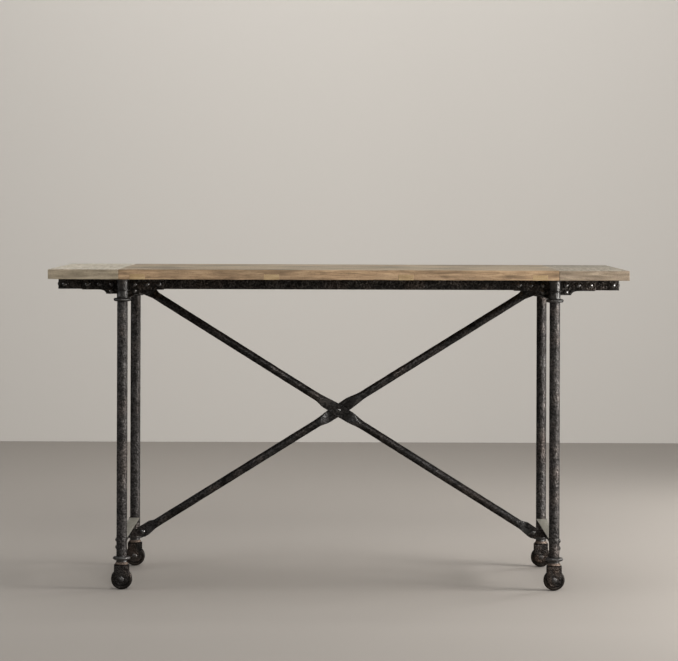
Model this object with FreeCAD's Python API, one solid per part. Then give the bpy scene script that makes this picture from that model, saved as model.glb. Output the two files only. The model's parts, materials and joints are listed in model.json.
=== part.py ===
import FreeCAD, Part
import math
import os

# A work table: a top of reclaimed planks with breadboard ends, on a riveted angle-iron frame. Four tube
# legs stand on swivel casters, a tee stretcher joins each pair of legs at the side, and two flattened
# tubes cross between the sides as a brace.
# X runs along the length, Y from the front (-Y) to the back, Z up. The origin is on the floor, under the
# centre of the top. All lengths are in millimetres.

V = FreeCAD.Vector

# ---- driving dimensions ----
TABLE_LENGTH = 1372.0
TABLE_DEPTH = 610.0
TABLE_HEIGHT = 765.0
TOP_THICKNESS = 24.0
BREADBOARD_WIDTH = 166.0
PLANK_WIDTHS = (188.0, 139.0, 140.0, 143.0)  # front to back
BATTEN_WIDTH = 36.0
BATTEN_THICKNESS = 13.0
BATTEN_SPACING = 317.0
TONGUE_THICKNESS = 8.0
TONGUE_LENGTH = 20.0

IRON_WIDTH = 25.4  # both flanges of the angle iron and of the tee iron
IRON_THICKNESS = 3.2
RAIL_OVERHANG = 18.0  # from the end of the top to the end rail
RAIL_FACE_Y = 209.0  # outer face of the front and back rails

LEG_X = 515.5
LEG_Y = 224.6
LEG_RADIUS = 12.7
LEG_WALL = 2.0
LEG_BOTTOM = 79.0
LEG_TOP = 687.0

STRETCHER_TOP = 123.0
BRACE_RADIUS = 10.2
BRACE_FLAT = 5.2
BRACE_FLAT_WIDTH = 29.5
BRACE_END_X = 481.0
BRACE_LOW_Z = 112.0
BRACE_HIGH_Z = 713.0
CROSSBAR_BOTTOM = 692.4

WHEEL_RADIUS = 25.4
WHEEL_WIDTH = 20.0
AXLE_RADIUS = 4.0
STEM_RADIUS = 4.75
RUNNING_GAP = 0.05  # radial, between a shaft and its bore
FIXED_GAP = 0.05  # radial, between a shank and its hole
FORK_TOP = 60.0

# ---- derived places ----
WOOD_UNDER = TABLE_HEIGHT - TOP_THICKNESS
SEAM_X = TABLE_LENGTH / 2 - BREADBOARD_WIDTH
RAIL_END_X = TABLE_LENGTH / 2 - RAIL_OVERHANG
RAIL_INNER_Y = RAIL_FACE_Y - IRON_THICKNESS
FLANGE_UNDER = WOOD_UNDER - IRON_THICKNESS
RAIL_BOTTOM = WOOD_UNDER - IRON_WIDTH
LEG_INNER_Y = LEG_Y - LEG_RADIUS
BATTEN_XS = [BATTEN_SPACING * step for step in (-1.5, -0.5, 0.5, 1.5)]
SIDES = (("left", -1), ("right", 1))
ROWS = (("front", -1), ("back", 1))
CORNERS = [(f"{row}_{side}", sx, sy) for row, sy in ROWS for side, sx in SIDES]

PARTS = {}


# ---- shared shapes ----
def block(x_range, y_range, z_range):
    """A box between two values on each axis, given in either order."""
    low = V(min(x_range), min(y_range), min(z_range))
    high = V(max(x_range), max(y_range), max(z_range))
    size = high - low
    return Part.makeBox(size.x, size.y, size.z, low)


def rod(start, direction, radius, length):
    """A round bar from a point, along a direction."""
    return Part.makeCylinder(radius, length, start, direction)


def prism(points, thickness):
    """The polygon through the points, extruded by a vector."""
    return Part.Face(Part.makePolygon(points + points[:1])).extrude(thickness)


def turned(steps, x, y):
    """A turned solid about a vertical axis: a stack of (radius, bottom, top) discs."""
    discs = [rod(V(x, y, bottom), V(0, 0, 1), radius, top - bottom) for radius, bottom, top in steps]
    return discs[0].multiFuse(discs[1:]).removeSplitter()


def rounded_ring(radius, thickness, x, y, z):
    """A disc with a half-round edge, centred on height z."""
    half = thickness / 2
    straight = radius - half
    arc = Part.Arc(V(straight, 0, -half), V(radius, 0, 0), V(straight, 0, half)).toShape()
    sides = Part.makePolygon([V(straight, 0, half), V(0, 0, half), V(0, 0, -half), V(straight, 0, -half)])
    face = Part.Face(Part.Wire([arc] + sides.Edges))
    ring = face.revolve(V(0, 0, 0), V(0, 0, 1), 360)
    ring.translate(V(x, y, z))
    return ring


def dome(radius, height):
    """A rivet or bolt head: a cap of a sphere standing on z = 0."""
    sphere_radius = (radius**2 + height**2) / (2 * height)
    ball = Part.makeSphere(sphere_radius, V(0, 0, height - sphere_radius))
    return ball.common(Part.makeCylinder(radius, height))


def aimed(shape, point, direction):
    """The shape, turned so that its +Z looks along the direction, and moved to the point."""
    placed = shape.copy()
    placed.Placement = FreeCAD.Placement(point, FreeCAD.Rotation(V(0, 0, 1), direction))
    return placed


def rivet(point, outward, grip, head_radius, head_height, shank_radius, tail_radius=0.0):
    """A domed head at the point, its shank through the grip, and a low tail on the far side if it has one."""
    shank = Part.makeCylinder(shank_radius, grip, V(0, 0, -grip))
    whole = dome(head_radius, head_height).fuse(shank)
    if tail_radius:
        tail = Part.makeCylinder(tail_radius, TAIL_HEIGHT, V(0, 0, -grip - TAIL_HEIGHT))
        whole = whole.fuse(tail)
    return aimed(whole, point, outward)


def keep(name, *solids):
    """Keep one node: a single solid, or a group of separate ones."""
    PARTS[name] = solids[0] if len(solids) == 1 else Part.makeCompound(list(solids))


# ---- the wooden top ----
# Planks run along X, tongued at both ends into the breadboards. Four battens lie across them, let into the
# underside and flush with it.
TONGUE_GAP = 0.2
TONGUE_SETBACK = 12.0  # the tongues and grooves stop short of the front and back edges
TONGUE_BOTTOM = WOOD_UNDER + (TOP_THICKNESS - TONGUE_THICKNESS) / 2
TONGUE_Z = (TONGUE_BOTTOM, TONGUE_BOTTOM + TONGUE_THICKNESS)
SCREW_RADIUS = 2.2
SCREW_HEAD_RADIUS = 4.4
SCREW_HEAD_HEIGHT = 2.4
RAIL_SCREW_LENGTH = 19.0
BATTEN_SCREW_LENGTH = 18.0
BATTEN_SCREW_FROM_EDGE = 60.0  # on the front and back planks


def batten_space(x, gap):
    """The channel of one batten, or the batten itself when the gap is zero."""
    half = BATTEN_WIDTH / 2 + gap
    return block((x - half, x + half), (-TABLE_DEPTH / 2, TABLE_DEPTH / 2),
                 (WOOD_UNDER, WOOD_UNDER + BATTEN_THICKNESS + gap))


def wood_screw(x, y, z, length, overlap=0.0):
    """A screw that goes up into the wood from height z, its pan head below z."""
    shank = rod(V(x, y, z - 0.1), V(0, 0, 1), SCREW_RADIUS + overlap, length + 0.1)
    if overlap:
        return shank
    return shank.fuse(aimed(dome(SCREW_HEAD_RADIUS, SCREW_HEAD_HEIGHT), V(x, y, z), V(0, 0, -1)))


def rail_screw_places():
    """Screws up through the flat flanges of the four rails."""
    flange_y = RAIL_FACE_Y - IRON_WIDTH / 2
    flange_x = RAIL_END_X - IRON_WIDTH / 2
    long_places = [(x, s * flange_y) for s in (-1, 1) for x in (-610, -380, -240, -60, 60, 240, 380, 610)]
    short_places = [(s * flange_x, y) for s in (-1, 1) for y in (-120, 0, 120)]
    return long_places + short_places


def batten_screw_places():
    """One screw for each plank on each batten, clear of the rails."""
    outer = TABLE_DEPTH / 2 - BATTEN_SCREW_FROM_EDGE
    second = -TABLE_DEPTH / 2 + PLANK_WIDTHS[0] + PLANK_WIDTHS[1] / 2
    third = TABLE_DEPTH / 2 - PLANK_WIDTHS[3] - PLANK_WIDTHS[2] / 2
    return [(x, y) for x in BATTEN_XS for y in (-outer, second, third, outer)]


def build_top():
    pilots = [wood_screw(x, y, FLANGE_UNDER, RAIL_SCREW_LENGTH, FIXED_GAP) for x, y in rail_screw_places()]
    pilots += [wood_screw(x, y, WOOD_UNDER, BATTEN_SCREW_LENGTH, FIXED_GAP) for x, y in batten_screw_places()]
    pilots = Part.makeCompound(pilots)
    channels = Part.makeCompound([batten_space(x, 0.1) for x in BATTEN_XS])

    front = -TABLE_DEPTH / 2
    tongue_reach = TABLE_DEPTH / 2 - TONGUE_SETBACK
    for number, width in enumerate(PLANK_WIDTHS, 1):
        plank = block((-SEAM_X, SEAM_X), (front, front + width), (WOOD_UNDER, TABLE_HEIGHT))
        tongue_y = (max(front, -tongue_reach), min(front + width, tongue_reach))
        tongue = block((-SEAM_X - TONGUE_LENGTH, SEAM_X + TONGUE_LENGTH), tongue_y, TONGUE_Z)
        keep(f"plank_{number}", plank.fuse(tongue).cut(channels).cut(pilots))
        front += width

    for side, sx in SIDES:
        board = block((sx * SEAM_X, sx * TABLE_LENGTH / 2), (-TABLE_DEPTH / 2, TABLE_DEPTH / 2),
                      (WOOD_UNDER, TABLE_HEIGHT))
        groove = block((sx * SEAM_X, sx * (SEAM_X + TONGUE_LENGTH + 1)),
                       (-tongue_reach - TONGUE_GAP, tongue_reach + TONGUE_GAP),
                       (TONGUE_Z[0] - TONGUE_GAP, TONGUE_Z[1] + TONGUE_GAP))
        keep(f"breadboard_{side}", board.cut(groove).cut(pilots))

    for number, x in enumerate(BATTEN_XS, 1):
        keep(f"batten_{number}", batten_space(x, 0).cut(pilots))

    keep("rail_screws", *[wood_screw(x, y, FLANGE_UNDER, RAIL_SCREW_LENGTH)
                          for x, y in rail_screw_places()])
    keep("batten_screws", *[wood_screw(x, y, WOOD_UNDER, BATTEN_SCREW_LENGTH)
                            for x, y in batten_screw_places()])


# ---- the angle-iron frame under the top ----
# Mitred at the corners, where a plate wraps each outer corner with one bolt on each face.
CORNER_PLATE_WIDTH = 24.5
CORNER_PLATE_THICKNESS = 2.0
BOLT_RADIUS = 3.0
BOLT_HEAD_RADIUS = 5.5
BOLT_HEAD_HEIGHT = 2.8
CORNER_BOLT_Z = WOOD_UNDER - 13.5
BOLT_FROM_CORNER = 13.0

# Rivets of a leg bracket, from the leg's axis: offset along X, and depth under the wood.
BRACKET_RIVETS = [(s * x, depth) for s in (-1, 1)
                  for x, depth in ((26.5, 13.5), (56.0, 13.5), (85.0, 13.5), (26.5, 30.0))]
RIVET_RADIUS = 3.0
RIVET_HEAD_RADIUS = 6.0
RIVET_HEAD_HEIGHT = 3.0
TAIL_RADIUS = 4.5
TAIL_HEIGHT = 1.6
PLATE_THICKNESS = 2.9  # the bracket's wings on the rail's face


def long_rail(sy):
    """The front or back rail: an angle with its flat flange under the wood."""
    outer = sy * RAIL_FACE_Y
    inner = sy * (RAIL_FACE_Y - IRON_WIDTH)
    plan = [V(-RAIL_END_X, outer, RAIL_BOTTOM), V(RAIL_END_X, outer, RAIL_BOTTOM),
            V(RAIL_END_X - IRON_WIDTH, inner, RAIL_BOTTOM), V(-RAIL_END_X + IRON_WIDTH, inner, RAIL_BOTTOM)]
    hollow = block((-RAIL_END_X, RAIL_END_X), (sy * RAIL_INNER_Y, inner), (RAIL_BOTTOM, FLANGE_UNDER))
    return prism(plan, V(0, 0, IRON_WIDTH)).cut(hollow)


def end_rail(sx):
    """The left or right rail, mitred to the long ones."""
    outer = sx * RAIL_END_X
    inner = sx * (RAIL_END_X - IRON_WIDTH)
    side_y = RAIL_FACE_Y - IRON_WIDTH
    plan = [V(outer, -RAIL_FACE_Y, RAIL_BOTTOM), V(outer, RAIL_FACE_Y, RAIL_BOTTOM),
            V(inner, side_y, RAIL_BOTTOM), V(inner, -side_y, RAIL_BOTTOM)]
    hollow = block((sx * (RAIL_END_X - IRON_THICKNESS), inner), (-RAIL_FACE_Y, RAIL_FACE_Y),
                   (RAIL_BOTTOM, FLANGE_UNDER))
    return prism(plan, V(0, 0, IRON_WIDTH)).cut(hollow)


def corner_plate(sx, sy):
    """A bent plate around the outside of one corner of the frame."""
    reach_x = RAIL_END_X - CORNER_PLATE_WIDTH + CORNER_PLATE_THICKNESS
    reach_y = RAIL_FACE_Y - CORNER_PLATE_WIDTH + CORNER_PLATE_THICKNESS
    heights = (RAIL_BOTTOM, WOOD_UNDER)
    whole = block((sx * reach_x, sx * (RAIL_END_X + CORNER_PLATE_THICKNESS)),
                  (sy * reach_y, sy * (RAIL_FACE_Y + CORNER_PLATE_THICKNESS)), heights)
    inside = block((sx * reach_x, sx * RAIL_END_X), (sy * reach_y, sy * RAIL_FACE_Y), heights)
    return whole.cut(inside)


def corner_bolt_places(sx, sy):
    """The point on the plate's face and the way out of it, for the two bolts of one corner."""
    plate_x = RAIL_END_X + CORNER_PLATE_THICKNESS
    plate_y = RAIL_FACE_Y + CORNER_PLATE_THICKNESS
    long_face = V(sx * (RAIL_END_X - BOLT_FROM_CORNER), sy * plate_y, CORNER_BOLT_Z)
    end_face = V(sx * plate_x, sy * (RAIL_FACE_Y - BOLT_FROM_CORNER), CORNER_BOLT_Z)
    return (long_face, V(0, sy, 0)), (end_face, V(sx, 0, 0))


def build_frame():
    grip = CORNER_PLATE_THICKNESS + IRON_THICKNESS
    corner_places = [place for _, sx, sy in CORNERS for place in corner_bolt_places(sx, sy)]
    holes = [rod(point, outward * -1, BOLT_RADIUS + FIXED_GAP, grip) for point, outward in corner_places]
    for _, sx, sy in CORNERS:
        for dx, depth in BRACKET_RIVETS:
            start = V(sx * LEG_X + dx, sy * RAIL_FACE_Y, WOOD_UNDER - depth)
            holes.append(rod(start, V(0, -sy, 0), RIVET_RADIUS + FIXED_GAP, IRON_THICKNESS))
    for x, y in rail_screw_places():
        holes.append(rod(V(x, y, FLANGE_UNDER), V(0, 0, 1), SCREW_RADIUS + FIXED_GAP, IRON_THICKNESS))
    holes = Part.makeCompound(holes)

    for row, sy in ROWS:
        keep(f"{row}_rail", long_rail(sy).cut(holes))
    for side, sx in SIDES:
        keep(f"{side}_end_rail", end_rail(sx).cut(holes))
    keep("corner_plates", *[corner_plate(sx, sy).cut(holes) for _, sx, sy in CORNERS])
    keep("corner_bolts", *[rivet(point, outward, grip, BOLT_HEAD_RADIUS, BOLT_HEAD_HEIGHT, BOLT_RADIUS,
                                 TAIL_RADIUS)
                           for point, outward in corner_places])


# ---- leg brackets: a casting that holds the top of each leg ----
# Its wings are riveted to the rail, and a lobe hangs below the rail on both sides of the leg. In front of
# them stands a turned sleeve with a bead and a heavy ring, over a spigot that fills the top of the tube.
WING_REACH = 98.0
WING_HEIGHT = 27.0
LOBE_HEIGHT = 37.0
LOBE_HALF_WIDTH = 40.0
LOBE_SHOULDER = 57.0
SHOULDER_HOLLOW = 0.3  # how far the shoulder's arc is pulled into the corner
SLEEVE_RADIUS = 13.3
SLEEVE_FLANGE_RADIUS = 17.0
SLEEVE_FLANGE_THICKNESS = 3.0
BEAD_RADIUS = 16.5
BEAD_THICKNESS = 3.0
BEAD_DEPTH = 28.0  # below the wood
BRIDGE_HALF_WIDTH = 9.0  # of the web between the sleeve and the wings
RING_RADIUS = 21.0
RING_THICKNESS = 8.0
SPIGOT_RADIUS = LEG_RADIUS - LEG_WALL - FIXED_GAP
SPIGOT_LENGTH = 30.0


def wing_outline(y):
    """The wings and the lobe, seen from the front, at a given Y and centred on x = 0."""
    top = WOOD_UNDER
    wing_bottom = WOOD_UNDER - WING_HEIGHT
    lobe_bottom = WOOD_UNDER - LOBE_HEIGHT
    hollow = SHOULDER_HOLLOW
    middle_x = (LOBE_SHOULDER + LOBE_HALF_WIDTH) / 2 - hollow * (LOBE_SHOULDER - LOBE_HALF_WIDTH)
    middle_z = (wing_bottom + lobe_bottom) / 2 + hollow * (wing_bottom - lobe_bottom)
    arcs = [Part.Arc(V(s * LOBE_SHOULDER, y, wing_bottom), V(s * middle_x, y, middle_z),
                     V(s * LOBE_HALF_WIDTH, y, lobe_bottom)).toShape() for s in (-1, 1)]
    over = Part.makePolygon([V(-LOBE_SHOULDER, y, wing_bottom), V(-WING_REACH, y, wing_bottom),
                             V(-WING_REACH, y, top), V(WING_REACH, y, top),
                             V(WING_REACH, y, wing_bottom), V(LOBE_SHOULDER, y, wing_bottom)])
    under = Part.makePolygon([V(-LOBE_HALF_WIDTH, y, lobe_bottom), V(LOBE_HALF_WIDTH, y, lobe_bottom)])
    edges = over.Edges + under.Edges + arcs
    return Part.Face(Part.Wire(Part.__sortEdges__(edges)))


def leg_bracket(sx, sy):
    """One casting, with the face of its wings on the rail."""
    face_y = sy * (RAIL_FACE_Y + PLATE_THICKNESS)
    wings = wing_outline(face_y).extrude(V(0, -sy * (PLATE_THICKNESS + IRON_THICKNESS), 0))
    rail_space = block((-WING_REACH, WING_REACH), (sy * RAIL_FACE_Y, sy * RAIL_INNER_Y),
                       (RAIL_BOTTOM, WOOD_UNDER))
    overhang = block((-WING_REACH, -LOBE_HALF_WIDTH), (sy * RAIL_FACE_Y, sy * RAIL_INNER_Y),
                     (RAIL_BOTTOM, WOOD_UNDER - LOBE_HEIGHT))
    overhangs = overhang.fuse(overhang.mirror(V(0, 0, 0), V(1, 0, 0)))
    axis_y = sy * LEG_Y
    ring_z = LEG_TOP + RING_THICKNESS / 2
    sleeve = turned([(SLEEVE_RADIUS, ring_z, WOOD_UNDER),
                     (SLEEVE_FLANGE_RADIUS, WOOD_UNDER - SLEEVE_FLANGE_THICKNESS, WOOD_UNDER),
                     (SPIGOT_RADIUS, LEG_TOP - SPIGOT_LENGTH, ring_z)], 0, axis_y)
    bead = rounded_ring(BEAD_RADIUS, BEAD_THICKNESS, 0, axis_y, WOOD_UNDER - BEAD_DEPTH)
    ring = rounded_ring(RING_RADIUS, RING_THICKNESS, 0, axis_y, ring_z)
    bridge = block((-BRIDGE_HALF_WIDTH, BRIDGE_HALF_WIDTH), (axis_y, face_y),
                   (WOOD_UNDER - LOBE_HEIGHT, WOOD_UNDER))
    whole = wings.cut(rail_space).cut(overhangs)
    whole = whole.multiFuse([sleeve, bead, ring, bridge]).cut(rail_space)
    whole.translate(V(sx * LEG_X, 0, 0))
    return whole.removeSplitter()


def build_brackets():
    rivets = []
    for name, sx, sy in CORNERS:
        places = [V(sx * LEG_X + dx, sy * (RAIL_FACE_Y + PLATE_THICKNESS), WOOD_UNDER - depth)
                  for dx, depth in BRACKET_RIVETS]
        grip = PLATE_THICKNESS + IRON_THICKNESS
        holes = [rod(place, V(0, -sy, 0), RIVET_RADIUS + FIXED_GAP, grip) for place in places]
        keep(f"leg_bracket_{name}", leg_bracket(sx, sy).cut(Part.makeCompound(holes)))
        for place in places:
            near_leg = abs(place.x - sx * LEG_X) < END_PLATE_HALF_WIDTH
            full_grip = grip + (IRON_THICKNESS if near_leg else 0)
            rivets.append(rivet(place, V(0, sy, 0), full_grip, RIVET_HEAD_RADIUS, RIVET_HEAD_HEIGHT,
                                RIVET_RADIUS, TAIL_RADIUS))
    keep("bracket_rivets", *rivets)


# ---- crossbars under the top, one over each pair of legs ----
# Tee iron, flange down, with its web welded to a plate at each end. The rivets of the brackets nearest the
# leg hold the plates.
END_PLATE_HALF_WIDTH = 34.0
LUG_THICKNESS = 3.2
LUG_RIVET_Y = 15.0
LUG_HIGH_Z = (698.0, 724.0)
LUG_LOW_Z = (99.0, 119.0)
LUG_HIGH_RIVET_Z = 707.0
LUG_LOW_RIVET_Z = 109.0


def lug_side(sx, level):
    """Which side of the brace's middle plane a lug is on: +1 behind it, -1 in front of it."""
    return 1 if (level == "upper") == (sx < 0) else -1


def lug_levels():
    """Each lug's level with the height of its brace bolt and of its rivet."""
    return ("upper", BRACE_HIGH_Z, LUG_HIGH_RIVET_Z), ("lower", BRACE_LOW_Z, LUG_LOW_RIVET_Z)


def build_crossbars():
    plate_bottom = WOOD_UNDER - LOBE_HEIGHT
    for side, sx in SIDES:
        x = sx * LEG_X
        inner = RAIL_INNER_Y
        tee_end = inner - IRON_THICKNESS
        flange = block((x - IRON_WIDTH / 2, x + IRON_WIDTH / 2), (-tee_end, tee_end),
                       (CROSSBAR_BOTTOM, CROSSBAR_BOTTOM + IRON_THICKNESS))
        web = block((x - IRON_THICKNESS / 2, x + IRON_THICKNESS / 2), (-tee_end, tee_end),
                    (CROSSBAR_BOTTOM, CROSSBAR_BOTTOM + IRON_WIDTH))
        plates = [block((x - END_PLATE_HALF_WIDTH, x + END_PLATE_HALF_WIDTH),
                        (sy * inner, sy * tee_end), (plate_bottom, FLANGE_UNDER))
                  for _, sy in ROWS]
        bar = flange.multiFuse([web] + plates).removeSplitter()
        holes = [rod(V(x + dx, sy * inner, WOOD_UNDER - depth), V(0, -sy, 0), RIVET_RADIUS + FIXED_GAP,
                     IRON_THICKNESS)
                 for _, sy in ROWS for dx, depth in BRACKET_RIVETS if abs(dx) < END_PLATE_HALF_WIDTH]
        holes.append(lug_rivet_hole(sx, "upper"))
        keep(f"crossbar_{side}", bar.cut(Part.makeCompound(holes)))


# ---- legs, stretchers and the feet that hold the casters ----
STRETCHER_RIVET_ZS = (101.0, 118.5)
STRETCHER_RIVET_RADIUS = 2.5
STRETCHER_HEAD_RADIUS = 5.2
STRETCHER_HEAD_HEIGHT = 3.1
RIVET_SEAT = LEG_RADIUS - 0.3  # the flat spot under a rivet's head, from the leg's axis
STRETCHER_TIP = 9.0  # how far the web goes past the leg's axis
FOOT_RING_RADIUS = 21.0
FOOT_RING_THICKNESS = 8.0
FOOT_NECK_RADIUS = 13.0
FOOT_TOP = 94.0
RACE_RADIUS = 16.0
RACE_TOP_RADIUS = 13.0
RACE_TOP = 66.0
RACE_GAP = 0.1


def build_legs():
    for name, sx, sy in CORNERS:
        x, y = sx * LEG_X, sy * LEG_Y
        up = V(0, 0, 1)
        tube = rod(V(x, y, LEG_BOTTOM), up, LEG_RADIUS, LEG_TOP - LEG_BOTTOM)
        bore = rod(V(x, y, LEG_BOTTOM), up, LEG_RADIUS - LEG_WALL, LEG_TOP - LEG_BOTTOM)
        slot_half = IRON_THICKNESS / 2 + 0.1
        slot = block((x - slot_half, x + slot_half), (y, sy * (LEG_INNER_Y - 1)),
                     (STRETCHER_TOP - IRON_WIDTH - 0.2, STRETCHER_TOP))
        holes = [rod(V(x - LEG_RADIUS - 1, y, z), V(1, 0, 0), STRETCHER_RIVET_RADIUS + FIXED_GAP,
                     2 * LEG_RADIUS + 2) for z in STRETCHER_RIVET_ZS]
        seats = [rod(V(sx * (LEG_X + RIVET_SEAT), y, z), V(sx, 0, 0), STRETCHER_HEAD_RADIUS + FIXED_GAP, 2)
                 for z in STRETCHER_RIVET_ZS]
        keep(f"leg_{name}", tube.cut(bore).cut(slot).cut(Part.makeCompound(holes + seats)))

        ring_z = LEG_BOTTOM - FOOT_RING_THICKNESS / 2
        ring = rounded_ring(FOOT_RING_RADIUS, FOOT_RING_THICKNESS, x, y, ring_z)
        core = turned([(FOOT_NECK_RADIUS, RACE_TOP, ring_z), (SPIGOT_RADIUS, ring_z, FOOT_TOP)], x, y)
        stem_bore = rod(V(x, y, RACE_TOP), up, STEM_RADIUS + RUNNING_GAP, FOOT_TOP - RACE_TOP)
        keep(f"leg_foot_{name}", ring.fuse(core).cut(stem_bore))

    races = []
    for _, sx, sy in CORNERS:
        centre = V(sx * LEG_X, sy * LEG_Y, FORK_TOP + RACE_GAP)
        cup = Part.makeCone(RACE_RADIUS, RACE_TOP_RADIUS, RACE_TOP - centre.z, centre, V(0, 0, 1))
        races.append(cup.cut(rod(centre, V(0, 0, 1), STEM_RADIUS + RUNNING_GAP, RACE_TOP - centre.z)))
    keep("swivel_races", *races)


def build_stretchers():
    rivets = []
    for side, sx in SIDES:
        x = sx * LEG_X
        flange_end = LEG_INNER_Y - 0.3
        flange = block((x - IRON_WIDTH / 2, x + IRON_WIDTH / 2), (-flange_end, flange_end),
                       (STRETCHER_TOP - IRON_THICKNESS, STRETCHER_TOP))
        web_end = LEG_Y + STRETCHER_TIP
        web = block((x - IRON_THICKNESS / 2, x + IRON_THICKNESS / 2), (-web_end, web_end),
                    (STRETCHER_TOP - IRON_WIDTH, STRETCHER_TOP))
        over = block((x - IRON_WIDTH, x + IRON_WIDTH), (LEG_INNER_Y - 0.3, web_end),
                     (STRETCHER_TOP - 0.2, STRETCHER_TOP))
        overs = over.fuse(over.mirror(V(0, 0, 0), V(0, 1, 0)))
        holes = [lug_rivet_hole(sx, "lower")]
        for _, sy in ROWS:
            for z in STRETCHER_RIVET_ZS:
                start = V(sx * (LEG_X + RIVET_SEAT), sy * LEG_Y, z)
                holes.append(rod(start, V(-sx, 0, 0), STRETCHER_RIVET_RADIUS + FIXED_GAP, 2 * RIVET_SEAT))
                rivets.append(rivet(start, V(sx, 0, 0), 2 * RIVET_SEAT, STRETCHER_HEAD_RADIUS,
                                    STRETCHER_HEAD_HEIGHT, STRETCHER_RIVET_RADIUS))
        keep(f"side_stretcher_{side}", flange.fuse(web).cut(overs).cut(Part.makeCompound(holes)))
    keep("stretcher_rivets", *rivets)


# ---- the crossed brace ----
# Each tube is pressed flat at both ends and in the middle, where the two are bolted together. The ends are
# bolted to angle lugs on the crossbars and on the stretchers.
FLAT_HALF_LENGTH = 28.0  # of the middle flat
MIDDLE_PRESS_LENGTH = 48.0  # from flat to round, on each side of the middle flat
END_PRESS_LENGTH = 20.0  # from round to the flat of an end
PRESS_STEPS = 6
END_FLAT_LENGTH = 25.0  # from the bolt towards the middle
END_PAST_BOLT = 13.0
FLAT_RELIEF = 0.03  # keeps a flat's faces, which are a little wavy, off what they are bolted to
BRACE_BORE_RADIUS = 8.2
LUG_END_RADIUS = 12.0
LUG_HEAD_RADIUS = 5.0
LUG_HEAD_HEIGHT = 2.5
NUT_RADIUS = 6.4
NUT_HEIGHT = 5.0
BOLT_PAST_NUT = 2.0
SEAT_GAP = 0.15  # between a brace's flat and the bolt head or the nut on it
BRACE_MIDDLE_Z = (BRACE_LOW_Z + BRACE_HIGH_Z) / 2
BRACE_RISE = math.atan2(BRACE_HIGH_Z - BRACE_LOW_Z, 2 * BRACE_END_X)
BRACE_HALF_LENGTH = math.hypot(BRACE_END_X, (BRACE_HIGH_Z - BRACE_LOW_Z) / 2)


def pressed_section(along, flatness):
    """A closed section of the tube across X: a circle at flatness 0, a flat oval at flatness 1."""
    across = BRACE_RADIUS + (BRACE_FLAT_WIDTH / 2 - BRACE_RADIUS) * flatness
    thick = BRACE_RADIUS + (BRACE_FLAT / 2 - FLAT_RELIEF - BRACE_RADIUS) * flatness
    power = 1 - 0.55 * flatness
    points = []
    for step in range(24):
        turn = 2 * math.pi * (step + 0.5) / 24
        z = across * math.copysign(abs(math.cos(turn)) ** power, math.cos(turn))
        y = thick * math.copysign(abs(math.sin(turn)) ** power, math.sin(turn))
        points.append(V(along, y, z))
    curve = Part.BSplineCurve()
    curve.interpolate(Points=points, PeriodicFlag=True)
    return Part.Wire(curve.toShape())


def brace_stations():
    """Places along one half of the tube, from the crossing to its end, each with how flat it is there."""
    parts = [step / PRESS_STEPS for step in range(PRESS_STEPS + 1)]
    eased = [part * part * (3 - 2 * part) for part in parts]
    outer_start = BRACE_HALF_LENGTH - END_FLAT_LENGTH - END_PRESS_LENGTH
    inner_press = [(FLAT_HALF_LENGTH + MIDDLE_PRESS_LENGTH * part, 1 - ease)
                   for part, ease in zip(parts, eased)]
    outer_press = [(outer_start + END_PRESS_LENGTH * part, ease) for part, ease in zip(parts, eased)]
    return inner_press + outer_press + [(BRACE_HALF_LENGTH + END_PAST_BOLT + 1, 1)]


def brace(sy, direction):
    """One tube, from end to end through the crossing. The direction is +1 if it rises to the right."""
    half = BRACE_HALF_LENGTH
    stations = brace_stations()
    stations = [(-along, flatness) for along, flatness in reversed(stations)] + stations
    outside = Part.makeLoft([pressed_section(along, flatness) for along, flatness in stations], True, True)

    end_radius = BRACE_FLAT_WIDTH / 2
    tip_x = half + END_PAST_BOLT - end_radius
    clear = 2 * BRACE_RADIUS
    outline = block((-tip_x, tip_x), (-clear, clear), (-2 * end_radius, 2 * end_radius))
    for s in (-1, 1):
        outline = outline.fuse(rod(V(s * tip_x, -clear, 0), V(0, 1, 0), end_radius, 2 * clear))
    whole = outside.common(outline)

    bore_start = FLAT_HALF_LENGTH + MIDDLE_PRESS_LENGTH
    bore_length = half - END_FLAT_LENGTH - END_PRESS_LENGTH - bore_start
    for s in (-1, 1):
        whole = whole.cut(rod(V(s * bore_start, 0, 0), V(s, 0, 0), BRACE_BORE_RADIUS, bore_length))
    for along in (-half, 0, half):
        whole = whole.cut(rod(V(along, -BRACE_FLAT, 0), V(0, 1, 0), BOLT_RADIUS + FIXED_GAP, 2 * BRACE_FLAT))
    whole.rotate(V(0, 0, 0), V(0, -1, 0), direction * math.degrees(BRACE_RISE))
    whole.translate(V(0, sy * BRACE_FLAT / 2, BRACE_MIDDLE_Z))
    return whole


def lug_rivet_hole(sx, level):
    """The hole for a lug's rivet through the web of the tee that it hangs on."""
    point, _ = lug_rivet_place(sx, level)
    return rod(point, V(-sx, 0, 0), BOLT_RADIUS + FIXED_GAP, IRON_THICKNESS + LUG_THICKNESS)


def lug_rivet_place(sx, level):
    """The outer face of the web, where the head of a lug's rivet sits."""
    rivet_z = dict((name, z) for name, _, z in lug_levels())[level]
    x = sx * (LEG_X + IRON_THICKNESS / 2)
    return V(x, lug_side(sx, level) * LUG_RIVET_Y, rivet_z), V(sx, 0, 0)


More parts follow.
